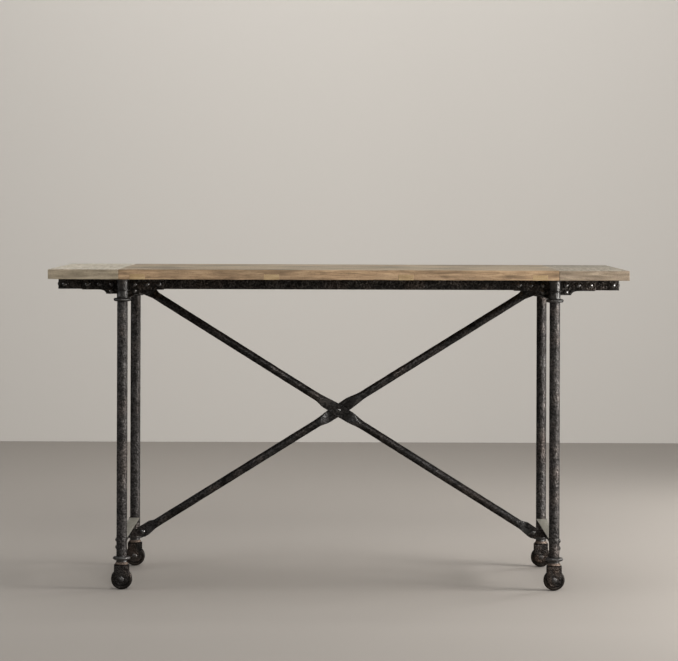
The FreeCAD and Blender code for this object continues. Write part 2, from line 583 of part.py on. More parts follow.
def brace_lug(sx, level):
    """An angle lug: one leg along the tee's web, the other one reaching in to the brace."""
    bolt_z = BRACE_HIGH_Z if level == "upper" else BRACE_LOW_Z
    heights = LUG_HIGH_Z if level == "upper" else LUG_LOW_Z
    side = lug_side(sx, level)
    web_x = sx * (LEG_X - IRON_THICKNESS / 2)
    faces = (0, side * LUG_THICKNESS)
    foot = block((web_x, web_x - sx * LUG_THICKNESS), (0, side * IRON_WIDTH), heights)
    reach = block((web_x, sx * BRACE_END_X), faces, (bolt_z - LUG_END_RADIUS, bolt_z + LUG_END_RADIUS))
    nose = rod(V(sx * BRACE_END_X, 0, bolt_z), V(0, side, 0), LUG_END_RADIUS, LUG_THICKNESS)
    hole = rod(V(sx * BRACE_END_X, 0, bolt_z), V(0, side, 0), BOLT_RADIUS + FIXED_GAP, LUG_THICKNESS)
    flange = block((web_x - sx * 20, web_x + sx * 20), (0, side * IRON_WIDTH),
                   (STRETCHER_TOP - IRON_THICKNESS, STRETCHER_TOP + IRON_WIDTH))
    whole = foot.multiFuse([reach, nose]).removeSplitter().cut(hole).cut(lug_rivet_hole(sx, level))
    return whole.cut(flange) if level == "lower" else whole


def build_brace():
    keep("brace_front", brace(-1, -1))
    keep("brace_rear", brace(1, 1))
    for level in ("upper", "lower"):
        for side, sx in SIDES:
            keep(f"brace_lug_{level}_{side}", brace_lug(sx, level))

    grips = [(V(0, -BRACE_FLAT, BRACE_MIDDLE_Z), 2 * BRACE_FLAT)]
    lug_rivets = []
    for _, sx in SIDES:
        for level, bolt_z, _ in lug_levels():
            front = -BRACE_FLAT if lug_side(sx, level) > 0 else -LUG_THICKNESS
            grips.append((V(sx * BRACE_END_X, front, bolt_z), BRACE_FLAT + LUG_THICKNESS))
            point, outward = lug_rivet_place(sx, level)
            lug_rivets.append(rivet(point, outward, IRON_THICKNESS + LUG_THICKNESS, LUG_HEAD_RADIUS,
                                    LUG_HEAD_HEIGHT, BOLT_RADIUS, TAIL_RADIUS))
    keep("lug_rivets", *lug_rivets)

    bolts = []
    nuts = []
    for point, grip in grips:
        head_seat = point - V(0, SEAT_GAP, 0)
        bolts.append(rivet(head_seat, V(0, -1, 0), grip + NUT_HEIGHT + BOLT_PAST_NUT, BOLT_HEAD_RADIUS,
                           BOLT_HEAD_HEIGHT, BOLT_RADIUS))
        nut_start = point + V(0, grip + SEAT_GAP, 0)
        angles = [math.radians(60 * n) for n in range(6)]
        corners = [nut_start + V(math.cos(angle), 0, math.sin(angle)) * NUT_RADIUS for angle in angles]
        nuts.append(prism(corners, V(0, NUT_HEIGHT, 0)).cut(
            rod(nut_start, V(0, 1, 0), BOLT_RADIUS + FIXED_GAP, NUT_HEIGHT)))
    keep("brace_bolts", *bolts)
    keep("brace_nuts", *nuts)


# ---- casters ----
# A fork with its stem swivels in the foot and the race. The wheel turns on an axle riveted in the fork.
FORK_WIDTH = 35.0
FORK_GAP = 21.0
FORK_SHEET = 2.6
FORK_DROP = 15.0  # from the axle to the bottom of the cheeks
STEM_TOP = 92.0
AXLE_HEAD_RADIUS = 6.5
AXLE_HEAD_HEIGHT = 2.4
HUB_RADIUS = 9.0
# Half of the wheel's section, from the tread to the hub: each step's drop from the wheel's radius and its
# distance in from the side.
RIM_STEPS = ((1.6, 2.0), (4.0, 1.0), (7.0, 1.0), (9.0, 3.0))


def caster_fork(x, y):
    """Two cheeks with rounded ends, the plate over them and the stem."""
    cheek_outer = FORK_GAP / 2 + FORK_SHEET
    plate = block((x - FORK_WIDTH / 2, x + FORK_WIDTH / 2), (y - cheek_outer, y + cheek_outer),
                  (FORK_TOP - FORK_SHEET, FORK_TOP))
    stem = rod(V(x, y, FORK_TOP - FORK_SHEET), V(0, 0, 1), STEM_RADIUS, STEM_TOP - FORK_TOP + FORK_SHEET)
    pieces = [stem]
    for s in (-1, 1):
        inner = y + s * FORK_GAP / 2
        straight = block((x - FORK_WIDTH / 2, x + FORK_WIDTH / 2), (inner, inner + s * FORK_SHEET),
                         (WHEEL_RADIUS, FORK_TOP))
        low = WHEEL_RADIUS - FORK_DROP
        arc = Part.Arc(V(x - FORK_WIDTH / 2, inner, WHEEL_RADIUS), V(x, inner, low),
                       V(x + FORK_WIDTH / 2, inner, WHEEL_RADIUS)).toShape()
        chord = Part.makePolygon([V(x - FORK_WIDTH / 2, inner, WHEEL_RADIUS),
                                  V(x + FORK_WIDTH / 2, inner, WHEEL_RADIUS)])
        rounded = Part.Face(Part.Wire([arc] + chord.Edges)).extrude(V(0, s * FORK_SHEET, 0))
        pieces += [straight, rounded]
    hole = rod(V(x, y - cheek_outer, WHEEL_RADIUS), V(0, 1, 0), AXLE_RADIUS + FIXED_GAP, 2 * cheek_outer)
    return plate.multiFuse(pieces).removeSplitter().cut(hole)


def caster_wheel(x, y):
    """A wheel with a crowned tread, a dished side and a hub, bored to run on the axle."""
    half = WHEEL_WIDTH / 2
    bore = AXLE_RADIUS + RUNNING_GAP
    side = [(WHEEL_RADIUS - drop, half - inset) for drop, inset in RIM_STEPS]
    side += [(HUB_RADIUS + 1, side[-1][1]), (HUB_RADIUS, half), (bore, half)]
    outline = side + [(radius, -z) for radius, z in reversed(side)]
    rest = Part.makePolygon([V(radius, 0, z) for radius, z in outline])
    tread_radius, tread_half = side[0]
    crown = Part.Arc(V(tread_radius, 0, -tread_half), V(WHEEL_RADIUS, 0, 0), V(tread_radius, 0, tread_half))
    face = Part.Face(Part.Wire([crown.toShape()] + rest.Edges))
    wheel = face.revolve(V(0, 0, 0), V(0, 0, 1), 360)
    return aimed(wheel, V(x, y, WHEEL_RADIUS), V(0, 1, 0))


def caster_axle(x, y):
    """A pin with a low domed head on each cheek."""
    cheek_outer = FORK_GAP / 2 + FORK_SHEET
    pin = rod(V(x, y - cheek_outer, WHEEL_RADIUS), V(0, 1, 0), AXLE_RADIUS, 2 * cheek_outer)
    head = dome(AXLE_HEAD_RADIUS, AXLE_HEAD_HEIGHT)
    heads = [aimed(head, V(x, y + s * cheek_outer, WHEEL_RADIUS), V(0, s, 0)) for s in (-1, 1)]
    return pin.multiFuse(heads)


def build_casters():
    for name, sx, sy in CORNERS:
        x, y = sx * LEG_X, sy * LEG_Y
        keep(f"caster_fork_{name}", caster_fork(x, y))
        keep(f"caster_axle_{name}", caster_axle(x, y))
        keep(f"caster_wheel_{name}", caster_wheel(x, y))


def export():
    os.makedirs("parts", exist_ok=True)
    for name, shape in PARTS.items():
        shape.exportStep(f"parts/{name}.step")
        size = shape.optimalBoundingBox()
        valid = "ok" if shape.isValid() else "NOT VALID"
        print(f"{name}: {len(shape.Solids)} solid(s), {size.XLength:.1f} x {size.YLength:.1f} x "
              f"{size.ZLength:.1f} mm, {valid}")


build_top()
build_frame()
build_brackets()
build_crossbars()
build_legs()
build_stretchers()
build_brace()
build_casters()
export()
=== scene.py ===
# %% [markdown]
# # A plank work table on an iron frame
# The table has a top of old planks, a frame of riveted angle iron, four tube legs on casters and two tubes
# that cross between them. The measured frame is loaded first, and the places below are worked out from it.

# %% Load the measured frame
import json
import math

import bmesh
import bpy
import numpy as np
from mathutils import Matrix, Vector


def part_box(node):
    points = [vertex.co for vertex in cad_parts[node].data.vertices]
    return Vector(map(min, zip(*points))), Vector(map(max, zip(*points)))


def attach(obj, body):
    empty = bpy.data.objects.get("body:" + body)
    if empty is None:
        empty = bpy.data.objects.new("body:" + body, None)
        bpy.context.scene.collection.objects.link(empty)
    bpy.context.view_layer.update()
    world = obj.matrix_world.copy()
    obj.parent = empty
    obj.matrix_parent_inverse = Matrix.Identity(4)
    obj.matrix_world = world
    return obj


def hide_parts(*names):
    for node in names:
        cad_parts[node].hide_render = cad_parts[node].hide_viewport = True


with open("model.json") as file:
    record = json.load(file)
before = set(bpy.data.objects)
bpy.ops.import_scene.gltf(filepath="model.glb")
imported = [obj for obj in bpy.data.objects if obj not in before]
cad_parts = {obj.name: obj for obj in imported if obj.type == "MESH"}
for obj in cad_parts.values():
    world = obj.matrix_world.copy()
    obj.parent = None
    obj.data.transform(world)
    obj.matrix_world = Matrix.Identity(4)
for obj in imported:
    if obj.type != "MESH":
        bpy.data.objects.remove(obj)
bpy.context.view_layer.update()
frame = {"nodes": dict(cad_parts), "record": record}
MM = 0.001
TAU = 2 * math.pi
SIDES = (("left", -1), ("right", 1))
CORNERS = [(f"{row}_{side}", sx, sy) for row, sy in (("front", -1), ("back", 1)) for side, sx in SIDES]
nodes = frame["nodes"]


def box_of(node):
    """The lowest and highest corner of a node, as two arrays."""
    low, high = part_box(node)
    return np.array(low), np.array(high)


# %% [markdown]
# Every new surface here is a grid: rows are stations along the piece, columns go round its section. Joining
# each point to its neighbours gives the faces, and one face closes each end. Working in whole arrays keeps
# this short, and the same few functions make planks, bars, tubes and turned rings.

# %% Grids, and the pieces made of them
def grid_faces(rows, columns):
    """Four-sided faces between neighbouring rows, wrapping round from the last column to the first."""
    index = np.arange(rows * columns).reshape(rows, columns)
    across = np.roll(index, -1, axis=1)
    corners = (index[:-1], across[:-1], across[1:], index[1:])
    return np.stack([corner.ravel() for corner in corners], axis=1)


def shell(points, caps=True, **marks):
    """A closed skin over a grid of points (rows, columns, 3). The marks are numbers painted on its points."""
    rows, columns = points.shape[:2]
    faces = grid_faces(rows, columns).tolist()
    if caps:
        faces.append(list(range(columns))[::-1])
        faces.append(list(range((rows - 1) * columns, rows * columns)))
    vertices = points.reshape(-1, 3)
    painted = {name: np.broadcast_to(values, (rows, columns)).ravel() for name, values in marks.items()}
    return {"vertices": vertices, "faces": faces, "marks": painted}


def facing_out(part):
    """The same shell with its faces turned outwards: the signed volume over its faces has to be positive."""
    vertices = part["vertices"] - part["vertices"].mean(axis=0)
    quads = np.array([face for face in part["faces"] if len(face) == 4])
    a, b, c, d = (vertices[quads[:, corner]] for corner in range(4))
    volume = np.sum(a * np.cross(b, c)) + np.sum(a * np.cross(c, d))
    for cap in (face for face in part["faces"] if len(face) != 4):
        ring = vertices[cap]
        volume += np.sum(ring[0] * np.cross(ring[1:-1], ring[2:]))
    if volume < 0:
        part["faces"] = [face[::-1] for face in part["faces"]]
    return part


def make_piece(name, shells, material, body, stands_for=(), smooth_angle=35):
    """One object of one or more closed shells, which rides on a body and stands for measured nodes."""
    shells = [facing_out(part) for part in shells]
    starts = np.cumsum([0] + [len(part["vertices"]) for part in shells[:-1]])
    vertices = np.vstack([part["vertices"] for part in shells])
    faces = [[corner + int(start) for corner in face] for part, start in zip(shells, starts)
             for face in part["faces"]]
    mesh = bpy.data.meshes.new(name)
    mesh.from_pydata(vertices.tolist(), [], faces)
    for mark in shells[0]["marks"]:
        layer = mesh.attributes.new(mark, "FLOAT", "POINT")
        layer.data.foreach_set("value", np.concatenate([part["marks"][mark] for part in shells]).astype("f4"))
    seams = bmesh.new()
    seams.from_mesh(mesh)
    bmesh.ops.remove_doubles(seams, verts=seams.verts, dist=1e-6)
    seams.to_mesh(mesh)
    seams.free()
    mesh.polygons.foreach_set("use_smooth", np.ones(len(mesh.polygons), dtype=bool))
    mesh.set_sharp_from_angle(angle=math.radians(smooth_angle))
    mesh.materials.append(material)
    piece = bpy.data.objects.new(name, mesh)
    bpy.context.scene.collection.objects.link(piece)
    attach(piece, body)
    if stands_for:
        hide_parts(*stands_for)
    print(f"{name}: {len(mesh.polygons)} faces")
    return piece


USUAL_PEAK = 1.4  # of several waves added together, once their sum is divided by the root of their number


def ripple(x, y, seed, wavelengths, waves=7):
    """A smooth relief, mostly from -1 to 1: a sum of sine waves of random length, direction and phase."""
    random = np.random.default_rng(seed)
    total = 0.0
    for _ in range(waves):
        length = random.uniform(*wavelengths)
        angle, phase = random.uniform(0, TAU, 2)
        total = total + np.sin(TAU * (x * math.cos(angle) + y * math.sin(angle)) / length + phase)
    return total / math.sqrt(waves) / USUAL_PEAK


# %% [markdown]
# ## Materials
# Old wood is bleached where light reached it and brown where it did not, and its grain runs one way. Noise
# that is stretched along the grain gives the streaks, and numbers painted on the mesh say which face is the
# top and where its upper edges are, which are painted paler: partly wear, partly a painted highlight. The
# iron is cast and waxed: nearly black, with a fine bumpy skin that catches light, and brown rust in patches.
# Its upward faces get a painted reflection of the bright wall.

# %% Node helpers
def new_material(name):
    """An empty material with its node tree, shader and object coordinates."""
    material = bpy.data.materials.new(name)
    material.use_nodes = True
    tree = material.node_tree
    shader = tree.nodes["Principled BSDF"]
    place = tree.nodes.new("ShaderNodeTexCoord").outputs["Object"]
    return material, tree, shader, place


def stretched(tree, place, scale, turn=(0, 0, 0)):
    """The coordinates, scaled by a different number along each axis."""
    mapping = tree.nodes.new("ShaderNodeMapping")
    mapping.inputs["Scale"].default_value = scale
    mapping.inputs["Rotation"].default_value = turn
    tree.links.new(place, mapping.inputs["Vector"])
    return mapping.outputs["Vector"]


def noise(tree, place, scale, detail=4.0, roughness=0.55, distortion=0.0):
    """A noise pattern; its size is one over the scale, in metres."""
    node = tree.nodes.new("ShaderNodeTexNoise")
    node.inputs["Scale"].default_value = scale
    node.inputs["Detail"].default_value = detail
    node.inputs["Roughness"].default_value = roughness
    node.inputs["Distortion"].default_value = distortion
    tree.links.new(place, node.inputs["Vector"])
    return node.outputs["Fac"]


def ramp(tree, value, *stops):
    """A colour ramp; each stop is a position and a colour, or a position and a grey level."""
    node = tree.nodes.new("ShaderNodeValToRGB")
    elements = node.color_ramp.elements
    while len(elements) < len(stops):
        elements.new(0.5)
    for element, (position, colour) in zip(elements, stops):
        element.position = position
        grey = isinstance(colour, (int, float))
        element.color = (colour, colour, colour, 1) if grey else (*colour, 1)
    tree.links.new(value, node.inputs["Fac"])
    return node.outputs["Color"]


def blend(tree, amount, first, second, mode="MIX"):
    """Mixes two colours by an amount; each of the three is a socket or a constant."""
    node = tree.nodes.new("ShaderNodeMix")
    node.data_type = "RGBA"
    node.blend_type = mode
    for socket, value in ((node.inputs[0], amount), (node.inputs[6], first), (node.inputs[7], second)):
        if isinstance(value, bpy.types.NodeSocket):
            tree.links.new(value, socket)
        elif isinstance(value, (int, float)):
            socket.default_value = value
        else:
            socket.default_value = (*value, 1)
    return node.outputs[2]


def calculate(tree, operation, first, second=0.0):
    """A maths node on sockets or numbers."""
    node = tree.nodes.new("ShaderNodeMath")
    node.operation = operation
    for socket, value in zip(node.inputs, (first, second)):
        if isinstance(value, bpy.types.NodeSocket):
            tree.links.new(value, socket)
        else:
            socket.default_value = value
    return node.outputs[0]


def painted(tree, name):
    """The number painted on the mesh under a name."""
    node = tree.nodes.new("ShaderNodeAttribute")
    node.attribute_name = name
    return node.outputs["Fac"]


def bumped(tree, shader, height, distance, strength=1.0, under=None):
    """A bump on the shader from a height socket, over another bump if there is one."""
    node = tree.nodes.new("ShaderNodeBump")
    node.inputs["Distance"].default_value = distance
    node.inputs["Strength"].default_value = strength
    tree.links.new(height, node.inputs["Height"])
    if under is not None:
        tree.links.new(under, node.inputs["Normal"])
    tree.links.new(node.outputs["Normal"], shader.inputs["Normal"])
    return node.outputs["Normal"]


# %% Old wood
def old_wood(name, grain_axis, top_colours, side_colours, smoke=0.5, seed=0.0):
    """Weathered wood with its grain along one axis: bleached on top, warmer and smoky on its sides.

    The sides always have streaks that lie flat: grain, or marks of the saw where the grain meets the side.
    """
    material, tree, shader, place = new_material(name)
    along = [1.0 if axis == grain_axis else 14.0 for axis in range(3)]
    finer = [scale if scale == 1.0 else 4.5 * scale for scale in along]
    moved = tree.nodes.new("ShaderNodeVectorMath")
    moved.operation = "ADD"
    moved.inputs[1].default_value = (seed, seed * 0.7, seed * 1.3)
    tree.links.new(place, moved.inputs[0])
    place = moved.outputs["Vector"]
    grain = noise(tree, stretched(tree, place, along), 9.0, 6.0, 0.62, 0.35)
    fibres = noise(tree, stretched(tree, place, finer), 14.0, 3.0, 0.7)
    patches = noise(tree, place, 5.5, 3.0, 0.5)
    speckle = noise(tree, place, 330.0, 2.0, 0.6)

    top = ramp(tree, grain, (0.3, top_colours[0]), (0.5, top_colours[1]), (0.68, top_colours[2]))
    flat = noise(tree, stretched(tree, place, (1.6, 1.6, 15.0)), 9.0, 6.0, 0.64, 0.5)
    side = ramp(tree, flat, (0.3, side_colours[0]), (0.5, side_colours[1]), (0.68, side_colours[2]))
    colour = blend(tree, painted(tree, "up"), side, top)
    streaks = ramp(tree, fibres, (0.36, 0.55), (0.52, 1.0), (0.7, 1.12))
    on_top = calculate(tree, "ADD", calculate(tree, "MULTIPLY", painted(tree, "up"), 0.4), 0.25)
    colour = blend(tree, on_top, colour, streaks, "MULTIPLY")
    stain = ramp(tree, patches, (0.36, 0.42), (0.52, 1.0))
    colour = blend(tree, smoke, colour, stain, "MULTIPLY")
    specks = ramp(tree, speckle, (0.3, 0.62), (0.45, 1.0))
    colour = blend(tree, 0.5, colour, specks, "MULTIPLY")
    # Wear and painted highlight: the upper edges, marked "edge", are blended towards a pale tone. This is
    # partly worn wood and partly a painted highlight along the rounded arris.
    pale = blend(tree, 0.5, colour, (0.62, 0.55, 0.43))
    colour = blend(tree, calculate(tree, "MULTIPLY", painted(tree, "edge"), 0.3), colour, pale)
    dirty = blend(tree, 0.8, colour, (0.035, 0.028, 0.02), "MULTIPLY")
    colour = blend(tree, painted(tree, "dirt"), colour, dirty)
    tree.links.new(colour, shader.inputs["Base Color"])
    shader.inputs["Roughness"].default_value = 0.72
    shader.inputs["Specular IOR Level"].default_value = 0.3

    fibre_height = calculate(tree, "MULTIPLY", fibres, 0.7)
    grain_height = calculate(tree, "MULTIPLY", grain, 0.6)
    height = calculate(tree, "ADD", fibre_height, grain_height)
    coarse = bumped(tree, shader, height, 0.0009)
    bumped(tree, shader, speckle, 0.00025, under=coarse)
    return material


PLANK_TOP = ((0.17, 0.125, 0.08), (0.31, 0.245, 0.165), (0.44, 0.365, 0.26))
PLANK_SIDE = ((0.14, 0.092, 0.052), (0.33, 0.220, 0.127), (0.50, 0.35, 0.21))
BREADBOARD_TOP = ((0.30, 0.26, 0.20), (0.44, 0.39, 0.31), (0.56, 0.50, 0.41))
BREADBOARD_SIDE = ((0.16, 0.13, 0.09), (0.26, 0.215, 0.15), (0.35, 0.29, 0.21))
BROWNER_TOP = ((0.17, 0.14, 0.10), (0.27, 0.235, 0.18), (0.38, 0.335, 0.26))
BROWNER_SIDE = ((0.13, 0.10, 0.068), (0.24, 0.185, 0.13), (0.36, 0.29, 0.21))
BATTEN_SIDE = ((0.24, 0.16, 0.08), (0.36, 0.25, 0.13), (0.46, 0.34, 0.19))
plank_wood = old_wood("old plank wood", 0, PLANK_TOP, PLANK_SIDE, 0.6)
breadboard_wood = old_wood("bleached breadboard wood", 1, BREADBOARD_TOP, BREADBOARD_SIDE, 0.35, 3.1)
brown_breadboard_wood = old_wood("browner breadboard wood", 1, BROWNER_TOP, BROWNER_SIDE, 0.5, 5.2)
batten_wood = old_wood("sawn batten wood", 1, BATTEN_SIDE, BATTEN_SIDE, 0.3, 7.7)
print("wood materials made")


# %% Waxed iron
def waxed_iron(name, colours, roughness, grain_size, relief, rust=0.2, glancing=0.12):
    """Blackened cast iron: dark tones by noise, brown rust in patches, and a skin of small pebbles.

    It is a metal of low reflectance, partly dull, and its glancing reflection is weak, so its edges stay dark.
    What is marked "up" gets a pale painted reflection of the bright wall, and what is marked "polish" is
    smoother and brighter.
    """
    material, tree, shader, place = new_material(name)
    clouds = noise(tree, place, 34.0, 4.0, 0.6)
    skin = noise(tree, place, 1.0 / grain_size, 2.0, 0.5)
    patches = noise(tree, place, 17.0, 5.0, 0.65)
    tone = ramp(tree, clouds, (0.32, colours[0]), (0.68, colours[1]))
    brown = ramp(tree, patches, (0.48, 0.0), (0.66, 1.0))
    tone = blend(tree, calculate(tree, "MULTIPLY", brown, rust), tone, (0.12, 0.07, 0.042))
    worn = ramp(tree, skin, (0.42, 0.55), (0.62, 1.9))
    tone = blend(tree, 0.8, tone, worn, "MULTIPLY")
    polish = painted(tree, "polish")
    tone = blend(tree, calculate(tree, "MULTIPLY", polish, 0.6), tone, (0.105, 0.103, 0.101))
    # Painted reflection: faces marked "up" are blended to pale beige and made less metallic, standing in for
    # the bright wall that they reflect at a glancing angle.
    painted_wall_reflection = calculate(tree, "MULTIPLY", painted(tree, "up"), 0.75)
    tree.links.new(blend(tree, painted_wall_reflection, tone, (0.30, 0.285, 0.24)), shader.inputs["Base Color"])
    metal = calculate(tree, "SUBTRACT", 0.8, calculate(tree, "MULTIPLY", painted_wall_reflection, 0.9))
    tree.links.new(metal, shader.inputs["Metallic"])
    shader.inputs["Specular IOR Level"].default_value = 0.08
    shader.inputs["Specular Tint"].default_value = (glancing, glancing, glancing, 1)
    shine = ramp(tree, clouds, (0.3, min(1.0, roughness + 0.08)), (0.7, max(0.05, roughness - 0.06)))
    shine = calculate(tree, "SUBTRACT", shine, calculate(tree, "MULTIPLY", polish, 0.14))
    tree.links.new(shine, shader.inputs["Roughness"])
    left_rough = calculate(tree, "SUBTRACT", 1.0, calculate(tree, "MULTIPLY", polish, 0.7))
    skin = calculate(tree, "MULTIPLY", skin, left_rough)
    if relief:
        broad = bumped(tree, shader, noise(tree, place, 0.3 / grain_size, 2.0, 0.5), relief * 2.5, 0.5)
        bumped(tree, shader, skin, relief, under=broad)
    return material


frame_iron = waxed_iron("waxed frame iron", ((0.014, 0.013, 0.012), (0.042, 0.039, 0.036)), 0.45,
                        0.0042, 0.0030, 0.10)
fastener_iron = waxed_iron("waxed rivet iron", ((0.055, 0.053, 0.051), (0.11, 0.107, 0.104)), 0.26,
                           0.003, 0.0, 0.05)
leg_iron = waxed_iron("waxed leg iron", ((0.023, 0.021, 0.020), (0.056, 0.053, 0.051)), 0.46,
                      0.0042, 0.0022, 0.12, 0.3)
brace_iron = waxed_iron("hammered brace iron", ((0.014, 0.013, 0.012), (0.046, 0.044, 0.043)), 0.34,
                        0.0045, 0.0010, 0.10)
fork_iron = waxed_iron("caster fork iron", ((0.013, 0.0117, 0.0107), (0.034, 0.031, 0.029)), 0.42,
                       0.0030, 0.0020, 0.22)
rusted_iron = waxed_iron("rusted race iron", ((0.10, 0.075, 0.06), (0.19, 0.15, 0.125)), 0.6,
                         0.0022, 0.0006, 0.3)
wheel_iron = waxed_iron("caster wheel iron", ((0.014, 0.0125, 0.0112), (0.036, 0.032, 0.0285)), 0.36,
                        0.0030, 0.0008, 0.1)
SLOT_MATERIALS = {"plank_wood": plank_wood, "breadboard_wood": breadboard_wood, "batten_wood": batten_wood,
                  "frame_iron": frame_iron, "fastener_iron": fastener_iron, "leg_iron": leg_iron,
                  "brace_iron": brace_iron, "rusted_iron": rusted_iron, "fork_iron": fork_iron,
                  "wheel_iron": wheel_iron}
print("iron materials made")

# %% [markdown]
# ## Boards
# A plank is a rounded bar: a rectangle whose corners are arcs, carried along its length. Age makes it less
# than straight, so the corner's radius wanders along the plank, and the faces sink a little in hollows and
# dents. The relief only ever goes inwards, so the board stays within its measured size.

# %% A rounded section and a board
def section_columns(across_count, up_count, arc_count):
    """Columns round a rounded rectangle: for each, the corner it hangs on (from -1 to 1) and its normal."""
    corners = np.array([(1, 1), (-1, 1), (-1, -1), (1, -1)], float)
    centres = []
    normals = []
    for number, corner in enumerate(corners):
        count = across_count if number % 2 else up_count
        part = (np.arange(count) + 1)[:, None] / (count + 1)
        angles = TAU / 4 * number + np.linspace(0, TAU / 4, arc_count)
        centres += [corners[number - 1] * (1 - part) + corner * part, np.tile(corner, (arc_count, 1))]
        normals += [np.tile((math.cos(angles[0]), math.sin(angles[0])), (count, 1)),
                    np.column_stack((np.cos(angles), np.sin(angles)))]
    return np.vstack(centres), np.vstack(normals)


STEP_WIDTH = 0.2 * MM  # half of the stretch in which a notch's side rises


def stations_along(length, spacing, end_radius, breaks=()):
    """Places along a bar: even steps, closer ones in the rounding of its ends and beside each break."""
    even = np.linspace(end_radius, length - end_radius, max(2, int(length / spacing)))
    rounding = end_radius * (1 - np.cos(np.linspace(0, TAU / 4, 6)[:-1]))
    beside = [place + way * STEP_WIDTH for place in breaks for way in (-1, 1)]
    return np.unique(np.concatenate([rounding, even, length - rounding, beside]))


LEAST_SINK = 0.02 * MM
GREATEST_SINK = 1.6 * MM


def board(low, high, along, radii, seed, depth, notches=(), spacing=7 * MM, across_count=26):
    """A worn board between two corners, with its length on one axis.

    Each point is corner x (half size - radius) + radius x normal, sunk along the normal by the relief. The
    radii are the least and greatest at the top's front, at its back and under it, and that of its ends. A
    notch lifts the underside.
    """
    across = 1 - along
    size = high - low
    end_radius = radii["end"]
    breaks = [edge - low[along] for notch in notches for edge in notch[:2]]
    places = stations_along(size[along], spacing, end_radius, breaks)
    corner, normal = section_columns(across_count, 8, 5)
    from_end = np.minimum(places, size[along] - places)
    inset = end_radius - np.sqrt(np.maximum(0, end_radius**2 - np.maximum(0, end_radius - from_end) ** 2))

    def wandering(limits, offset):
        share = 0.5 + 0.5 * np.clip(ripple(places, 0 * places, seed + offset, (0.05, 0.4), 9), -1, 1)
        return (limits[0] + (limits[1] - limits[0]) * share**2)[:, None]

    sides = enumerate(("front", "back", "under"))
    left, right, under = (wandering(radii[key], number) for number, key in sides)
    side_share = (corner[:, 0] + 1) / 2
    up_share = (corner[:, 1] + 1) / 2
    radius = (left * (1 - side_share) + right * side_share) * up_share + under * (1 - up_share)
    half = np.array([size[across], size[2]]) / 2 - inset[:, None, None]
    section = corner * (half - radius[..., None]) + radius[..., None] * normal

    grid_along = places[:, None] + 0 * section[..., 0]
    girth = section[..., 0] + 2 * section[..., 1]
    hollows = ripple(grid_along, girth, seed + 5, (0.12, 0.5))
    hollows = hollows + 0.6 * ripple(grid_along, girth * 4, seed + 6, (0.04, 0.16))
    dents = np.maximum(0, ripple(grid_along, girth, seed + 7, (0.012, 0.04), 9) - 1.1)
    sink = depth * (0.5 + 0.28 * hollows + 0.9 * dents)
    section = section - normal * np.clip(sink, LEAST_SINK, GREATEST_SINK)[..., None]

    for start, end, rise in notches:
        inside = (places > start - low[along]) & (places < end - low[along])
        lift = np.where(inside, rise, 0)[:, None]
        height = section[..., 1] + size[2] / 2
        section[..., 1] = height + lift * (1 - height / size[2]) - size[2] / 2

    points = np.empty((*section.shape[:2], 3))
    points[..., along] = low[along] + grid_along
    points[..., across] = (low + high)[across] / 2 + section[..., 0]
    points[..., 2] = (low + high)[2] / 2 + section[..., 1]
    up = np.clip(normal[:, 1], 0, 1) * np.ones((len(places), 1))
    # The upper rounded edges are marked for a paler colour: partly wear, partly a painted highlight.
    edge = np.clip(4 * np.abs(normal[:, 0] * normal[:, 1]), 0, 1) * up * np.ones((len(places), 1))
    closed, marks = close_ends(points, {"up": up, "edge": edge, "dirt": 0 * up})
    return shell(closed, caps=False, **marks)


def close_ends(points, marks):
    """Adds rows that shrink each end ring to its middle, so that the end is a face of its own."""
    shares = np.array([0.985, 0.6, 0.0])[:, None, None]
    rings = (points[0], points[-1])
    first, last = (ring.mean(axis=0) + (ring - ring.mean(axis=0)) * shares for ring in rings)
    closed = np.concatenate([first[::-1], points, last])
    blank = np.zeros((len(shares), points.shape[1]))
    return closed, {name: np.concatenate([blank, values, blank]) for name, values in marks.items()}


# %% [markdown]
# The planks run the length of the top and stop at the breadboards, which cap their ends. Four battens are let
# into the underside, so each plank's underside rises by a batten's thickness there.

# %% The planks
batten_boxes = [box_of(f"batten_{number}") for number in range(1, 5)]
NOTCH_GAP = 0.1 * MM
SEAM_GAP = 0.15 * MM
notches = [(low[0] - NOTCH_GAP, high[0] + NOTCH_GAP, high[2] - low[2]) for low, high in batten_boxes]
seam_low = box_of("breadboard_left")[1][0]
seam_high = box_of("breadboard_right")[0][0]
PLANK_EDGES = {"front": (0.5 * MM, 1.4 * MM), "back": (0.5 * MM, 1.4 * MM), "under": (0.6 * MM, 1.2 * MM),
               "end": 1.0 * MM}
OUTER_EDGE = (0.5 * MM, 1.5 * MM)
BOARD_RELIEF = 0.4 * MM
SAWN_RELIEF = 0.1 * MM
for number in range(1, 5):
    low, high = box_of(f"plank_{number}")
    low[0] = seam_low + SEAM_GAP
    high[0] = seam_high - SEAM_GAP
    radii = dict(PLANK_EDGES)
    if number == 1:
        radii["front"] = OUTER_EDGE
    if number == 4:
        radii["back"] = OUTER_EDGE
    plank = board(low, high, 0, radii, 10 * number, BOARD_RELIEF, notches)
    make_piece(f"worn_plank_{number}", [plank], plank_wood, "table", [f"plank_{number}"])

